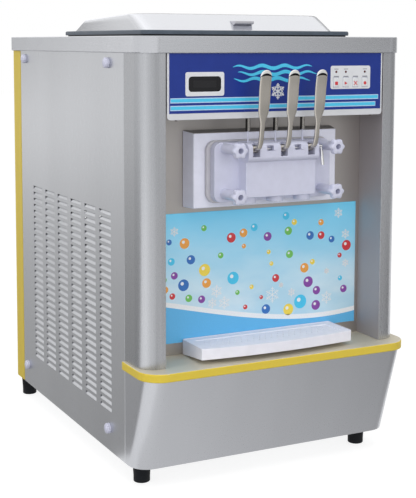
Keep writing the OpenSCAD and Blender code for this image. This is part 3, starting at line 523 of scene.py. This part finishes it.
def louvred_panel(side, sign):
    """Side panel with inward-pressed louvres and folded edges."""
    low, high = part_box(side + "_side_panel")
    outer = sign * max(abs(low.x), abs(high.x))
    columns, rows = 6, 29
    length, height, press = 56.4 * MM, 7 * MM, 3.8 * MM
    pitch_y, pitch_z = 75.2 * MM, 12.9 * MM
    first_y, first_z = low.y + 62.3 * MM, low.z + 74 * MM
    lip, lip_rise, slant = 0.35 * MM, 0.15 * MM, 6.4 * MM
    fold, flange = 2 * MM, 9 * MM
    sheet = 1.2 * MM
    y_cuts = [low.y + fold]
    for c in range(columns):
        y_cuts += [first_y + c * pitch_y, first_y + c * pitch_y + length]
    y_cuts.append(high.y - fold)
    z_cuts = [low.z]
    for r in range(rows):
        z_cuts += [first_z + r * pitch_z, first_z + r * pitch_z + height]
    z_cuts.append(high.z)
    bm = bmesh.new()

    def point(depth, y, z):
        return bm.verts.new((outer - sign * depth, y, z))

    def strip(profile, along):
        """Quads along Y or Z between points of a profile, each (depth, y, z) from one end to the other."""
        for (d0, y0, z0), (d1, y1, z1) in zip(profile, profile[1:]):
            if along == "y":
                corners = ((d0, y0[0], z0), (d0, y0[1], z0), (d1, y1[1], z1), (d1, y1[0], z1))
            else:
                corners = ((d0, y0, z0[0]), (d0, y0, z0[1]), (d1, y1, z1[1]), (d1, y1, z1[0]))
            bm.faces.new([point(*c) for c in corners])

    for i, ends in enumerate(zip(y_cuts, y_cuts[1:])):
        for j, (z0, z1) in enumerate(zip(z_cuts, z_cuts[1:])):
            if i % 2 and j % 2:
                strip([(0, ends, z0), (lip, ends, z0 + lip_rise), (press, ends, z0 + slant)], "y")
            else:
                strip([(0, ends, z0), (0, ends, z1)], "y")
    for edge, inward in ((low.y, 1), (high.y, -1)):
        turn = [(fold * (1 - math.cos(a)), edge + inward * fold * (1 - math.sin(a)))
                for a in (0, math.pi / 6, math.pi / 3, math.pi / 2)]
        turn.append((flange, edge))
        for ends in zip(z_cuts, z_cuts[1:]):
            strip([(depth, y, ends) for depth, y in turn], "z")
    piece = add_piece(side + "_side_panel_skin", bm, "satin_steel", "cabinet",
                      [side + "_side_panel"])
    piece.data.shade_flat()
    for polygon in piece.data.polygons:
        if polygon.normal.x * sign < -0.3:
            polygon.flip()
    thick = piece.modifiers.new("sheet", "SOLIDIFY")
    thick.thickness = sheet
    thick.offset = -1


def cabinet():
    refined("base_pan", "frame_steel", 0.4 * MM, 2)
    refined("frame", "frame_steel", 0.5 * MM, 2, merge_flats=False)
    louvred_panel("left", -1)
    louvred_panel("right", 1)
    gland_x, gland_z, gland_reach = 180 * MM, 90 * MM, 13 * MM

    def rear_material(centre, normal):
        return 1 if math.hypot(centre.x - gland_x, centre.z - gland_z) < gland_reach else 0

    refined("rear_panel", ["satin_steel", "gland"], 0.4 * MM, 2, rear_material, merge_flats=False)
    refined("rear_trims", "gold", 1.6 * MM)
    for side, inward in (("left", 1), ("right", -1)):
        # The pillars' fronts and outsides carry painted reflection bands.
        refined(side + "_pillar", ["pillar_steel_painted_reflection", "wall_steel_painted_shade"], 0.6 * MM, 3,
                # Material 1, the darker wall steel, paints the recess's shade on the inward faces.
                lambda centre, normal, inward=inward: 1 if normal.x * inward > SQUARE_ON else 0,
                merge_flats=False)
    refined("ledge", ["gold", "ledge_steel"], 1.6 * MM, 3, top_faces)
    refined("base_front_panel", "base_steel", 0.5 * MM, merge_flats=False)
    refined("recess_back_panel", "recess_steel", 0.4 * MM, 2)
    refined("top_cover", "cover_steel", 1.4 * MM, 4, merge_flats=False)
    refined("feet", "foot_rubber", 1.2 * MM)


def thumbscrews():
    """Domed plastic screws with a fluted rim; each stands on its side panel."""
    panel_x = abs(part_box("left_side_panel")[0].x)
    flutes, flute_depth = 12, 0.5 * MM
    head_r, points = 9.6 * MM, 60
    spots = [(-175, 748), (293, 749), (-173, 82), (293, 83)]  # Y and Z in millimetres
    stations = [(0, 0.98), (0.8, 1.0), (4.8, 1.0), (6.4, 0.95), (7.4, 0.82), (7.5, 0.66), (8.3, 0.60),
                (8.8, 0.42), (8.9, 0.18)]
    bm = bmesh.new()
    for sign in (-1, 1):
        for y, z in spots:
            rings = []
            for height, share in stations:
                fluting = flute_depth if share > 0.8 else 0
                ring = []
                for i in range(points):
                    angle = 2 * math.pi * i / points
                    r = head_r * share - fluting * (1 + math.cos(flutes * angle)) / 2
                    ring.append((sign * (panel_x + height * MM), y * MM + r * math.cos(angle),
                                 z * MM + r * math.sin(angle)))
                rings.append(ring)
            loft(bm, rings)
    add_piece("thumbscrews", bm, "white", "cabinet", ["side_screws"])


# ---------- printed panels ----------

def snow_crystal(bm, x, z, radius, width, y, material):
    """Plain six-armed crystal made of thin bars, each a little in front of the last."""
    arms, lift = 6, 0.002 * MM
    twigs = ((0.45, 0.34), (0.72, 0.22))
    for arm in range(arms):
        angle = 2 * math.pi * arm / arms + math.pi / 2
        tip = (x + radius * math.cos(angle), z + radius * math.sin(angle))
        prism(bm, bar(x, z, *tip, width), y - arm * lift, PRINT, material)
        for share, length in twigs:
            root = (x + share * radius * math.cos(angle), z + share * radius * math.sin(angle))
            for turn in (-math.pi / 3, math.pi / 3):
                end = (root[0] + length * radius * math.cos(angle + turn),
                       root[1] + length * radius * math.sin(angle + turn))
                prism(bm, bar(*root, *end, width * 0.8), y - (arms + arm) * lift, PRINT, material)


def wave(x0, x1, z, amplitude, length, thickness, phase):
    """Outline of a ribbon that follows a sine wave and thins towards its ends."""
    steps = 60
    upper, lower = [], []
    for i in range(steps + 1):
        share = i / steps
        x = x0 + (x1 - x0) * share
        height = z + amplitude * math.sin(2 * math.pi * (x - x0) / length + phase)
        half = thickness / 2 * max(0.12, math.sin(math.pi * share) ** 0.5)
        upper.append((x, height + half))
        lower.append((x, height - half))
    return lower + upper[::-1]


def control_panel():
    """White-edged front plate with its blue field, stripes and plain generic motifs."""
    refined("control_panel", "border", 0.7 * MM, merge_flats=False)
    field_depth = 0.25 * MM
    field_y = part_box("control_panel")[0].y - field_depth
    print_y = field_y - PRINT
    bm = bmesh.new()
    prism(bm, rectangle(-215 * MM, 215 * MM, 664 * MM, 766 * MM), field_y, field_depth)
    add_piece("panel_field", bm, "panel_blue", "cabinet")
    bm = bmesh.new()
    half, core, margin = 4.3, 2.7, 1
    for z, x0, x1 in ((686.0, -213, -30), (686.0, 20, 210), (673.2, -213, 204)):
        pale = rectangle(x0 * MM, x1 * MM, (z - half) * MM, (z + half) * MM)
        cyan = rectangle((x0 + margin) * MM, (x1 - margin) * MM, (z - core) * MM, (z + core) * MM)
        prism(bm, pale, print_y, PRINT, 0)
        prism(bm, cyan, print_y - PRINT, PRINT, 1)
    amplitude, length, thickness = 2.6 * MM, 46 * MM, 6.5 * MM
    for row, (z, x0, x1) in enumerate(((742, -94, 66), (731, -84, 76), (720, -92, 62))):
        ribbon = wave(x0 * MM, x1 * MM, z * MM, amplitude, length, thickness, 1.1 * row)
        prism(bm, ribbon, print_y, PRINT, 1)
    snow_crystal(bm, -4 * MM, 699 * MM, 13 * MM, 2.2 * MM, print_y, 2)
    add_piece("panel_print", bm, ["ink_pale", "ink_cyan", "ink_white"], "cabinet")


def panel_screws():
    """Two small screws that come down from the control housing behind the panel's lower edge."""
    housing_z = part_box("control_housing")[0].z
    panel_low, panel_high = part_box("control_panel")
    from_end, behind, points = 20 * MM, 5 * MM, 20
    stations = [(panel_low.z - 2.2 * MM, 1.2), (panel_low.z - 1.8 * MM, 2.4), (panel_low.z + 1 * MM, 2.6),
                (panel_low.z + 1 * MM, 1.8), (housing_z + 12 * MM, 1.8)]
    bm = bmesh.new()
    for sign in (-1, 1):
        x, y = sign * (panel_high.x - from_end), panel_high.y + behind
        loft(bm, [[(x + r * MM * math.cos(a), y + r * MM * math.sin(a), z)
                   for a in (2 * math.pi * k / points for k in range(points))] for z, r in stations])
    add_piece("panel_screws", bm, "stud_steel", "cabinet")


def display_and_keys():
    refined("display_bezel", "key_white", 0.5 * MM)
    refined("display_window", "window", 0.15 * MM, 2)
    refined("keypad_plate", "key_white", 0.35 * MM, 2, merge_flats=False)
    low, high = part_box("display_window")
    side_gap, end_gap, film = 9 * MM, 7 * MM, 0.08 * MM
    bm = bmesh.new()
    inner = rectangle(low.x + side_gap, high.x - side_gap, low.z + end_gap, high.z - end_gap, 1.5 * MM)
    prism(bm, inner, low.y - film, film)
    add_piece("display_panel", bm, "window_rim", "cabinet")
    lights_low, lights_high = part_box("indicator_lights")
    centre_z = (lights_low.z + lights_high.z) / 2
    radius = (lights_high.z - lights_low.z) / 2
    unlit_key = 3
    bm = bmesh.new()
    marks = bmesh.new()
    for number in range(1, 5):
        key_low, key_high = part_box(f"key_{number}")
        x = (key_low.x + key_high.x) / 2
        z = (key_low.z + key_high.z) / 2
        label_y = key_low.y + 0.95 * MM
        prism(marks, rectangle(x - 5.5 * MM, x + 5.5 * MM, 722.7 * MM, 724.6 * MM), label_y, PRINT)
        if number != unlit_key:
            prism(marks, rectangle(x - 4.5 * MM, x + 4.5 * MM, 736.4 * MM, 737.6 * MM), label_y, PRINT)
            loft(bm, [ring_y((x, centre_z), lights_low.y + depth * MM, radius * share, 24)
                      for depth, share in ((4, 1.0), (0.6, 1.0), (0.2, 0.8), (0.0, 0.4))])
        key_cap(number, x, z, key_low, key_high)
    add_piece("indicator_lenses", bm, "lens", "cabinet", ["indicator_lights"])
    add_piece("keypad_marks", marks, "ink_grey", "cabinet")


def key_cap(number, x, z, low, high):
    """Soft-edged key with a plain square, triangle, cross or round mark in red."""
    bm = bmesh.new()
    half_w, half_h = (high.x - low.x) / 2, (high.z - low.z) / 2
    rings = []
    for depth, inset in ((0, 1.0), (0.15, 0.5), (0.5, 0.12), (1.0, 0), (4.6, 0)):
        outline = rectangle(x - half_w + inset * MM, x + half_w - inset * MM, z - half_h + inset * MM,
                            z + half_h - inset * MM, 1.5 * MM)
        rings.append([(px, low.y + depth * MM, pz) for px, pz in outline])
    loft(bm, rings)
    mark_depth, stroke = 0.12 * MM, 1.6 * MM
    mark_z, r = z - 1.5 * MM, 3.1 * MM
    left, right, below, above = x - r, x + r, mark_z - r, mark_z + r
    shapes = {
        1: [rectangle(left, right, below, above, 0.8 * MM)],
        2: [[(left, below), (right, mark_z), (left, above)]],
        3: [bar(left, below, right, above, stroke), bar(left, above, right, below, stroke)],
        4: [disc(x, mark_z, r)],
    }
    for index, outline in enumerate(shapes[number]):
        prism(bm, outline, low.y - (0.02 + 0.01 * index) * MM, mark_depth, 1)
    add_piece(f"key_{number}_cap", bm, ["key_white", "ink_red"], f"key_{number}_body",
              [f"key_{number}"])


def poster():
    """Generic print on the recess back: sky, a white swell, flat blue and a scatter of plain shapes."""
    refined("poster_panel", "poster_sky", 0.2 * MM, 2)
    low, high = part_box("poster_panel")
    width = high.x - low.x
    crest, side_margin, top_margin, above_swell, apart = 9 * MM, 14 * MM, 16 * MM, 18 * MM, 4 * MM

    def swell(share):
        """Height of the swell's lower edge at a share of the width."""
        return low.z + (73 - 95 * share - 25 * share ** 2 + 68 * share ** 3) * MM

    steps = 48
    xs = [low.x + width * i / steps for i in range(steps + 1)]
    tops = [(x, swell(i / steps) + crest) for i, x in enumerate(xs)]
    bottoms = [(x, swell(i / steps)) for i, x in enumerate(xs)]
    bm = bmesh.new()
    print_y, flat_depth = low.y - PRINT, 0.14 * MM
    prism(bm, bottoms + tops[::-1], print_y, PRINT, 0)
    prism(bm, [(low.x, low.z), (high.x, low.z)] + bottoms[::-1], low.y - flat_depth, flat_depth, 1)
    colours = ["ink_white", "poster_blue", "ink_green", "ink_purple", "ink_red", "ink_orange", "ink_yellow",
               "ink_cyan", "ink_deep"]
    seeded = random.Random(7)
    spots = []
    tries, wanted = 4000, 60
    for _ in range(tries):
        if len(spots) == wanted:
            break
        share = seeded.random()
        x = low.x + side_margin + (width - 2 * side_margin) * share
        lowest = swell(share) + above_swell
        rise = seeded.random() ** 2
        z = lowest + (high.z - top_margin - lowest) * rise
        radius = seeded.uniform(3.5, 14 - 6 * rise) * MM
        if all(math.hypot(x - a, z - b) > radius + r + apart for a, b, r in spots):
            spots.append((x, z, radius))
    for index, (x, z, radius) in enumerate(spots):
        if index % 5 == 0:
            snow_crystal(bm, x, z, radius * 1.15, 1.3 * MM, print_y, 0)
        else:
            shine = disc(x - radius * 0.25, z + radius * 0.28, radius * 0.30, 20)
            prism(bm, disc(x, z, radius, 32), print_y, PRINT, 2 + index % 7)
            prism(bm, shine, print_y - 0.06 * MM, PRINT, 0)
    add_piece("poster_print", bm, colours, "cabinet")


# ---------- dispensing head ----------

def head():
    # The block's top faces get a painted shadow; its other faces a brighter white that paints light into the
    # recess.
    refined("front_block", ["block_white_painted_light", "block_top_painted_shadow"], 2.0 * MM, 4, top_faces)
    refined("seal_plate", "seal_grey", 1.8 * MM, 4)
    refined("dispensing_door", "white", 0.9 * MM, merge_flats=False)
    # The studs' dark steel paints the shade in the knobs' bores.
    refined("door_studs", "stud_steel", 0.6 * MM, 2)
    refined("lever_pin", "bright_chrome", 0.5 * MM, 2)
    for side in ("left", "centre", "right"):
        refined(f"piston_{side}", "white", 0.5 * MM, 2)
        refined(f"switch_rod_{side}", "rod_steel", 0.3 * MM, 2)
        lever(side)
    for number in range(1, 5):
        hand_knob(number)
    refined("micro_switches", "switch", 0.6 * MM, 2)
    refined("control_housing", "frame_steel", 0.5 * MM, 2)


def between(stations, t):
    """Value at t on straight lines between stations of (t, value)."""
    for (t0, v0), (t1, v1) in zip(stations, stations[1:]):
        if t <= t1:
            return v0 + (v1 - v0) * (t - t0) / (t1 - t0)
    return stations[-1][1]


def curve_point(points, t):
    """Point at t, from 0 to 1, on a smooth curve through the points."""
    scaled = t * (len(points) - 1)
    i = min(int(scaled), len(points) - 2)
    u = scaled - i
    a, b, c, d = (Vector(points[max(0, min(k, len(points) - 1))]) for k in (i - 1, i, i + 1, i + 2))
    square, cube = 2 * a - 5 * b + 4 * c - d, 3 * b - a - 3 * c + d
    return 0.5 * (2 * b + (c - a) * u + square * u * u + cube * u ** 3)


def lever(side):
    """Pull lever: round hub, narrow stem that curves up, long paddle like a spoon handle, and a tail.

    The route has (y, z) from the pin in millimetres; widths and thickness have (z, size).
    """
    low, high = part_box(f"lever_{side}")
    pin_y, pin_z = -333 * MM, 599 * MM  # the hinge pin's centre
    centre_x = (low.x + high.x) / 2
    top, tip_half, tip_r = 138.9, 11.2, 11.25
    route = [(0, 0), (-12, 1), (-20, 6), (-25, 17), (-28, 35), (-31.5, 58), (-35.5, 82), (-38.5, 112),
             (-43.4, top)]
    widths = [(0, 4.8), (34, 4.5), (47, 4.9), (54, 6.4), (63, 9.2), (71, 10.5), (84, 11.0), (100, 11.4),
              (127.6, tip_half)]
    thickness = [(0, 5.4), (34, 5.0), (60, 4.6), (100, 4.6), (130, 4.4), (139, 2.6)]
    steps, tip_steps, tip_share = 72, 12, 0.09
    shares = [i / steps for i in range(2, steps - 6)]
    shares += [1 - tip_share * (1 - k / tip_steps) for k in range(1, tip_steps + 1)]
    bm = bmesh.new()
    rings = []
    for share in shares:
        here = curve_point(route, share)
        ahead = curve_point(route, min(1, share + 0.01))
        behind = curve_point(route, max(0, share - 0.01))
        along = (ahead - behind).normalized()
        across = Vector((-along.y, along.x))
        half = between(widths, here.y)
        rise = here.y - (top - tip_half)
        if rise > 0:
            half = tip_half * math.sqrt(max(0.0, 1 - (rise / tip_r) ** 2))
        half = max(half, 0.4)
        deep = between(thickness, here.y) / 2 * min(1.0, 0.35 + half / 6)
        ring = []
        for k in range(24):
            angle = 2 * math.pi * k / 24
            c, s = math.cos(angle), math.sin(angle)
            x = half * math.copysign(abs(c) ** 0.6, c)
            off = deep * math.copysign(abs(s) ** 0.75, s)
            p = here + across * off
            ring.append((centre_x + x * MM, pin_y + p.x * MM, pin_z + p.y * MM))
        rings.append(ring)
    loft(bm, rings)
    hub = []
    for x, r in ((-6.7, 6.2), (-6.2, 6.9), (6.2, 6.9), (6.7, 6.2)):
        hub.append([(centre_x + x * MM, pin_y + r * MM * math.cos(a), pin_z + r * MM * math.sin(a))
                    for a in (2 * math.pi * k / 36 for k in range(36))])
    loft(bm, hub)
    section = ((-4.6, -1), (4.6, -1), (5, -0.8), (5, 0.8), (4.6, 1), (-4.6, 1), (-5, 0.8), (-5, -0.8))
    tail = [[(centre_x + x * MM, pin_y + y * MM, pin_z + z * half * MM) for x, z in section]
            for y, half in ((0, 2.5), (17, 2.5), (19, 4.2), (21, 4.5), (23, 4.2), (25, 2.6))]
    loft(bm, tail)
    add_piece(f"lever_{side}_handle", bm, "lever_chrome", f"lever_{side}_body", [f"lever_{side}"])


def hand_knob(number):
    """Hand nut: tapered stem, six soft lobes and a bore that shows the stud's end."""
    low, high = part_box(f"hand_knob_{number}")
    centre = ((low.x + high.x) / 2, (low.z + high.z) / 2)
    front, back = low.y, high.y
    waist, lobes, points = 11.2, 6, 72

    def lobed(share, depth):
        def radius(angle):
            return (waist * share + 1.15 * depth * (0.5 + 0.5 * math.cos(lobes * angle)) ** 0.75) * MM
        return radius

    bm = bmesh.new()
    outside = [(0, 0.62, 0.2), (0.1, 0.86, 1.2), (0.9, 0.96, 2.3), (2.4, 1.0, 2.8), (9.5, 1.0, 2.9),
               (12.0, 0.98, 2.6), (13.4, 0.93, 1.4), (14.4, 0.89, 0.2)]
    rings = [ring_y(centre, front + d * MM, lobed(s, lobe), points) for d, s, lobe in outside]
    rings += [ring_y(centre, front + d * MM, r * MM, points) for d, r in ((18, 8.3), (40, 8.7))]
    rings += [ring_y(centre, back - d * MM, r * MM, points) for d, r in ((3, 9.0), (0.8, 9.3), (0, 9.25))]
    bore = [(30, 4.95), (0.6, 4.95), (0, 5.2)]
    inner = [ring_y(centre, front + d * MM, r * MM, points) for d, r in bore]
    loft(bm, inner + rings, (True, False))
    add_piece(f"hand_knob_{number}_skin", bm, "white", f"hand_knob_{number}_body",
              [f"hand_knob_{number}"])


def drip_tray():
    refined("drip_tray", "tray_white", 1.3 * MM, 4)
    refined("drip_grid", "tray_white", 0.35 * MM, 2, merge_flats=False)


# ---------- top and inside ----------

def plan_ring(x0, x1, y0, y1, height, front_r, rear_r):
    """Rectangle with round corners seen from above; height is a number or a function of y."""
    steps = 10
    points = []
    corners = ((x1 - rear_r, y1 - rear_r, rear_r), (x0 + rear_r, y1 - rear_r, rear_r),
               (x0 + front_r, y0 + front_r, front_r), (x1 - front_r, y0 + front_r, front_r))
    for quarter, (cx, cy, r) in enumerate(corners):
        for step in range(steps + 1):
            angle = math.pi / 2 * (quarter + step / steps)
            x, y = cx + r * math.cos(angle), cy + r * math.sin(angle)
            points.append((x, y, height(y) if callable(height) else height))
    return points


def lid_shell():
    """Pressed sheet lid: front and back slope, the sides stand upright and the top falls to the rear."""
    low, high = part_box("hopper_lid")
    slope, drop = 57 * MM, 9 * MM
    front_r, rear_r = 44 * MM, 8 * MM
    wall = 1.5 * MM

    def ring(share, inset, sink=0.0):
        """Ring at a share of the lid's height; inset moves it inwards and sink lowers it."""
        y0 = low.y + slope * share + inset
        y1 = high.y - slope * share - inset
        top_y0, top_y1 = low.y + slope, high.y - slope

        def height(y):
            top = high.z - drop * (y - top_y0) / (top_y1 - top_y0)
            return low.z + share * (min(top, high.z) - low.z) - sink

        return plan_ring(low.x + inset, high.x - inset, y0, y1, height, front_r - inset, rear_r - inset)

    bm = bmesh.new()
    outside = [ring(share, 0) for share in (0, 0.04, 0.3, 0.6, 0.9)]
    rounding = [ring(0.955, 0.5 * MM), ring(0.985, 1.5 * MM), ring(1.0, 3.2 * MM)]
    inner = [ring(0.96, 3.2 * MM, wall), ring(0.5, wall), ring(0.0, wall)]
    loft(bm, inner + outside + rounding)
    # The lid's steel has a painted highlight on its round corners and painted shade on its sides.
    add_piece("hopper_lid_skin", bm, "lid_steel", "lid_body", ["hopper_lid"])


def lid_gasket():
    """Rubber rim under the lid, with a narrower foot and a rounded upper edge."""
    low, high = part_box("lid_seal")
    lid_low, lid_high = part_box("hopper_lid")
    foot, rim_width = 3 * MM, 17 * MM

    def outer(height, inset, r):
        return plan_ring(low.x + inset, high.x - inset, low.y + inset, high.y - inset, height, r, r)

    def inner(height):
        return plan_ring(lid_low.x + rim_width, lid_high.x - rim_width, lid_low.y + rim_width,
                         lid_high.y - rim_width, height, 8 * MM, 8 * MM)

    top = high.z
    outside = [outer(low.z, 5.4 * MM, 14 * MM), outer(low.z + 0.4 * MM, 5 * MM, 14 * MM),
               outer(low.z + foot - 0.3 * MM, 5 * MM, 14 * MM), outer(low.z + foot, 4.4 * MM, 14.5 * MM),
               outer(low.z + foot, 0.5 * MM, 18 * MM), outer(low.z + foot + 0.5 * MM, 0, 18 * MM),
               outer(top - 2.4 * MM, 0, 18 * MM), outer(top - 0.8 * MM, 0.8 * MM, 17.4 * MM),
               outer(top, 2.6 * MM, 16 * MM)]
    bm = bmesh.new()
    loft(bm, [inner(top), inner(low.z)] + outside + [inner(top)], (False, False))
    add_piece("lid_seal_skin", bm, "seal_rubber", "lid_body", ["lid_seal"])


def lid():
    lid_shell()
    lid_gasket()
    refined("lid_handle", "grip_steel", 0.9 * MM)


def inside():
    refined("hoppers", "hopper_steel", 0.4 * MM, 2, merge_flats=False)
    refined("cylinders", "hopper_steel", 0.6 * MM, 2)
    refined("beater_left", "white", 0.8 * MM, 2)
    refined("beater_right", "white", 0.8 * MM, 2)
    refined("gearmotors", "motor_paint", 1.5 * MM, 2)
    refined("compressor", "compressor_paint", 1.0 * MM, 2)
    refined("condenser", "fins", 0.15 * MM, 1)
    refined("fan_shroud", "frame_steel", 0.4 * MM, 2)
    refined("fan_rotor", "motor_paint", 0.4 * MM, 2)
    refined("fan_motor", "motor_paint", 1.0 * MM, 2)
    refined("refrigerant_pipes", "copper", 0.2 * MM, 1)


# ---------- studio ----------

def glow(name, strengths, size):
    """Grey emission that blends strengths, as floats, at a card's four corners.

    Their order is lower left, lower right, upper left and upper right.
    """
    material = bpy.data.materials.new(name)
    material.use_nodes = True
    tree = material.node_tree
    tree.nodes.remove(tree.nodes["Principled BSDF"])
    coords = tree.nodes.new("ShaderNodeTexCoord")
    split = tree.nodes.new("ShaderNodeSeparateXYZ")
    tree.links.new(coords.outputs["Object"], split.inputs["Vector"])

    def ramp(axis, length, low, high):
        node = tree.nodes.new("ShaderNodeMapRange")
        node.inputs["From Min"].default_value = -length / 2
        node.inputs["From Max"].default_value = length / 2
        tree.links.new(split.outputs[axis], node.inputs["Value"])
        for value, socket in ((low, "To Min"), (high, "To Max")):
            if isinstance(value, float):
                node.inputs[socket].default_value = value
            else:
                tree.links.new(value, node.inputs[socket])
        return node.outputs["Result"]

    lower = ramp("X", size[0], strengths[0], strengths[1])
    upper = ramp("X", size[0], strengths[2], strengths[3])
    emission = tree.nodes.new("ShaderNodeEmission")
    tree.links.new(ramp("Y", size[1], lower, upper), emission.inputs["Strength"])
    tree.links.new(emission.outputs["Emission"], tree.nodes["Material Output"].inputs["Surface"])
    return material


def seen_directly(tree):
    """1 for rays from the camera, from gloss and through glass, and 0 for the rest."""
    path = tree.nodes.new("ShaderNodeLightPath")
    total = path.outputs["Is Camera Ray"]
    for other in ("Is Glossy Ray", "Is Transmission Ray"):
        add = tree.nodes.new("ShaderNodeMath")
        add.operation = "MAXIMUM"
        tree.links.new(total, add.inputs[0])
        tree.links.new(path.outputs[other], add.inputs[1])
        total = add.outputs["Value"]
    return total


def flat_corners(width, height):
    """Corners of a rectangle round the origin, in its own plane."""
    w, h = width / 2, height / 2
    return [(-w, -h, 0), (w, -h, 0), (w, h, 0), (-w, h, 0)]


def floor():
    """Pale floor that keeps the shadow; its own glow makes the unshaded part white."""
    side, grey, glow_level = 30, 0.35, 0.80
    material = bpy.data.materials.new("floor")
    material.use_nodes = True
    tree = material.node_tree
    shader = tree.nodes["Principled BSDF"]
    shader.inputs["Base Color"].default_value = (grey, grey, grey, 1)
    shader.inputs["Roughness"].default_value = 0.9
    shader.inputs["Specular IOR Level"].default_value = 0.0
    shader.inputs["Emission Color"].default_value = (1, 1, 1, 1)
    strength = tree.nodes.new("ShaderNodeMath")
    strength.operation = "MULTIPLY"
    strength.inputs[1].default_value = glow_level
    tree.links.new(seen_directly(tree), strength.inputs[0])
    tree.links.new(strength.outputs["Value"], shader.inputs["Emission Strength"])
    mesh = bpy.data.meshes.new("floor")
    mesh.from_pydata(flat_corners(side, side), [], [(0, 1, 2, 3)])
    mesh.materials.append(material)
    plane = bpy.data.objects.new("floor", mesh)
    bpy.context.scene.collection.objects.link(plane)


def world():
    """White where it is seen, and a plain soft level of light for everything else."""
    lit, seen = 0.60, 1.0
    made = bpy.data.worlds.new("studio")
    made.use_nodes = True
    tree = made.node_tree
    background = tree.nodes["Background"]
    background.inputs["Color"].default_value = (1, 1, 1, 1)
    level = tree.nodes.new("ShaderNodeMapRange")
    level.inputs["To Min"].default_value = lit
    level.inputs["To Max"].default_value = seen
    tree.links.new(seen_directly(tree), level.inputs["Value"])
    tree.links.new(level.outputs["Result"], background.inputs["Strength"])
    bpy.context.scene.world = made


def softbox(name, place, target, size, power):
    """Lamp that lights the part but doesn't show in its gloss."""
    light = bpy.data.lights.new(name, "AREA")
    light.shape = "RECTANGLE"
    light.size, light.size_y = size
    light.energy = power
    lamp = bpy.data.objects.new(name, light)
    lamp.visible_glossy = False
    lamp.location = place
    direction = Vector(target) - Vector(place)
    lamp.rotation_mode = "QUATERNION"
    lamp.rotation_quaternion = direction.to_track_quat("-Z", "Y")
    bpy.context.scene.collection.objects.link(lamp)


def card(name, centre, across, up, strengths):
    """Card that only gloss shows, so that polished surfaces have soft bands.

    across and up are its sides, each as a vector in metres; strengths are those of its four corners.
    """
    across, up = Vector(across), Vector(up)
    width, height = across.length, up.length
    mesh = bpy.data.meshes.new(name)
    mesh.from_pydata(flat_corners(width, height), [], [(0, 1, 2, 3)])
    mesh.materials.append(glow(name, strengths, (width, height)))
    board = bpy.data.objects.new(name, mesh)
    facing = across.cross(up).normalized()
    rotation = Matrix((across.normalized(), facing.cross(across).normalized(), facing)).transposed().to_4x4()
    board.matrix_world = Matrix.Translation(centre) @ rotation
    board.visible_camera = False
    board.visible_diffuse = False
    board.visible_shadow = False
    bpy.context.scene.collection.objects.link(board)


def studio():
    floor()
    world()
    softbox("top_light", (-0.4, -0.8, 2.9), (0, 0, 0.5), (2.6, 2.6), 24)
    softbox("left_light", (-2.9, -0.9, 1.3), (0, 0, 0.45), (2.4, 1.8), 22)
    softbox("front_light", (-0.5, -3.6, 1.1), (0, 0, 0.5), (3.0, 2.0), 38)
    card("right_card", (1.7, -2.5, 0.9), (3.6, 2.0, 0), (0, 0, 2.2), (0.66, 0.60, 0.86, 0.46))
    card("far_right_card", (3.5, -0.2, 0.9), (0, 2.6, 0), (0, 0, 2.2), (0.42, 0.50, 0.42, 0.50))
    card("front_floor_card", (0.15, -1.94, 0.004), (1.0, 0, 0), (0, 3.32, 0), (1.0, 0.66, 0.94, 0.34))
    card("right_floor_card", (1.75, -1.94, 0.004), (2.2, 0, 0), (0, 3.32, 0), (0.80, 0.60, 0.34, 0.30))
    card("left_floor_card", (-2.65, 2.94, 0.004), (0, 6.12, 0), (-4.75, 0, 0), (0.42, 0.95, 0.42, 0.95))
    card("rear_left_card", (-2.3, 6.0, 1.9), (2.2, 0, 0), (0, 0, 2.8), (1.35, 0.15, 1.35, 0.15))
    card("cover_card", (1.32, -2.66, 0.95), (1.44, 0.8, 0), (0, 0, 0.6), (1.20, 0.22, 1.20, 0.22))
    card("rear_sky_card", (-1.2, 3.6, 2.1), (3.0, 0, 0), (0, 0, 1.6), (1.30, 1.30, 1.30, 1.30))
    card("edge_card", (2.6, 3.4, 2.2), (3.4, 0, 0), (0, 0, 1.7), (0.35, 0.35, 0.35, 0.35))
    bpy.context.scene.view_settings.view_transform = "Standard"


make_materials()
make_camera()
cabinet()
thumbscrews()
control_panel()
panel_screws()
display_and_keys()
poster()
head()
drip_tray()
lid()
inside()
studio()
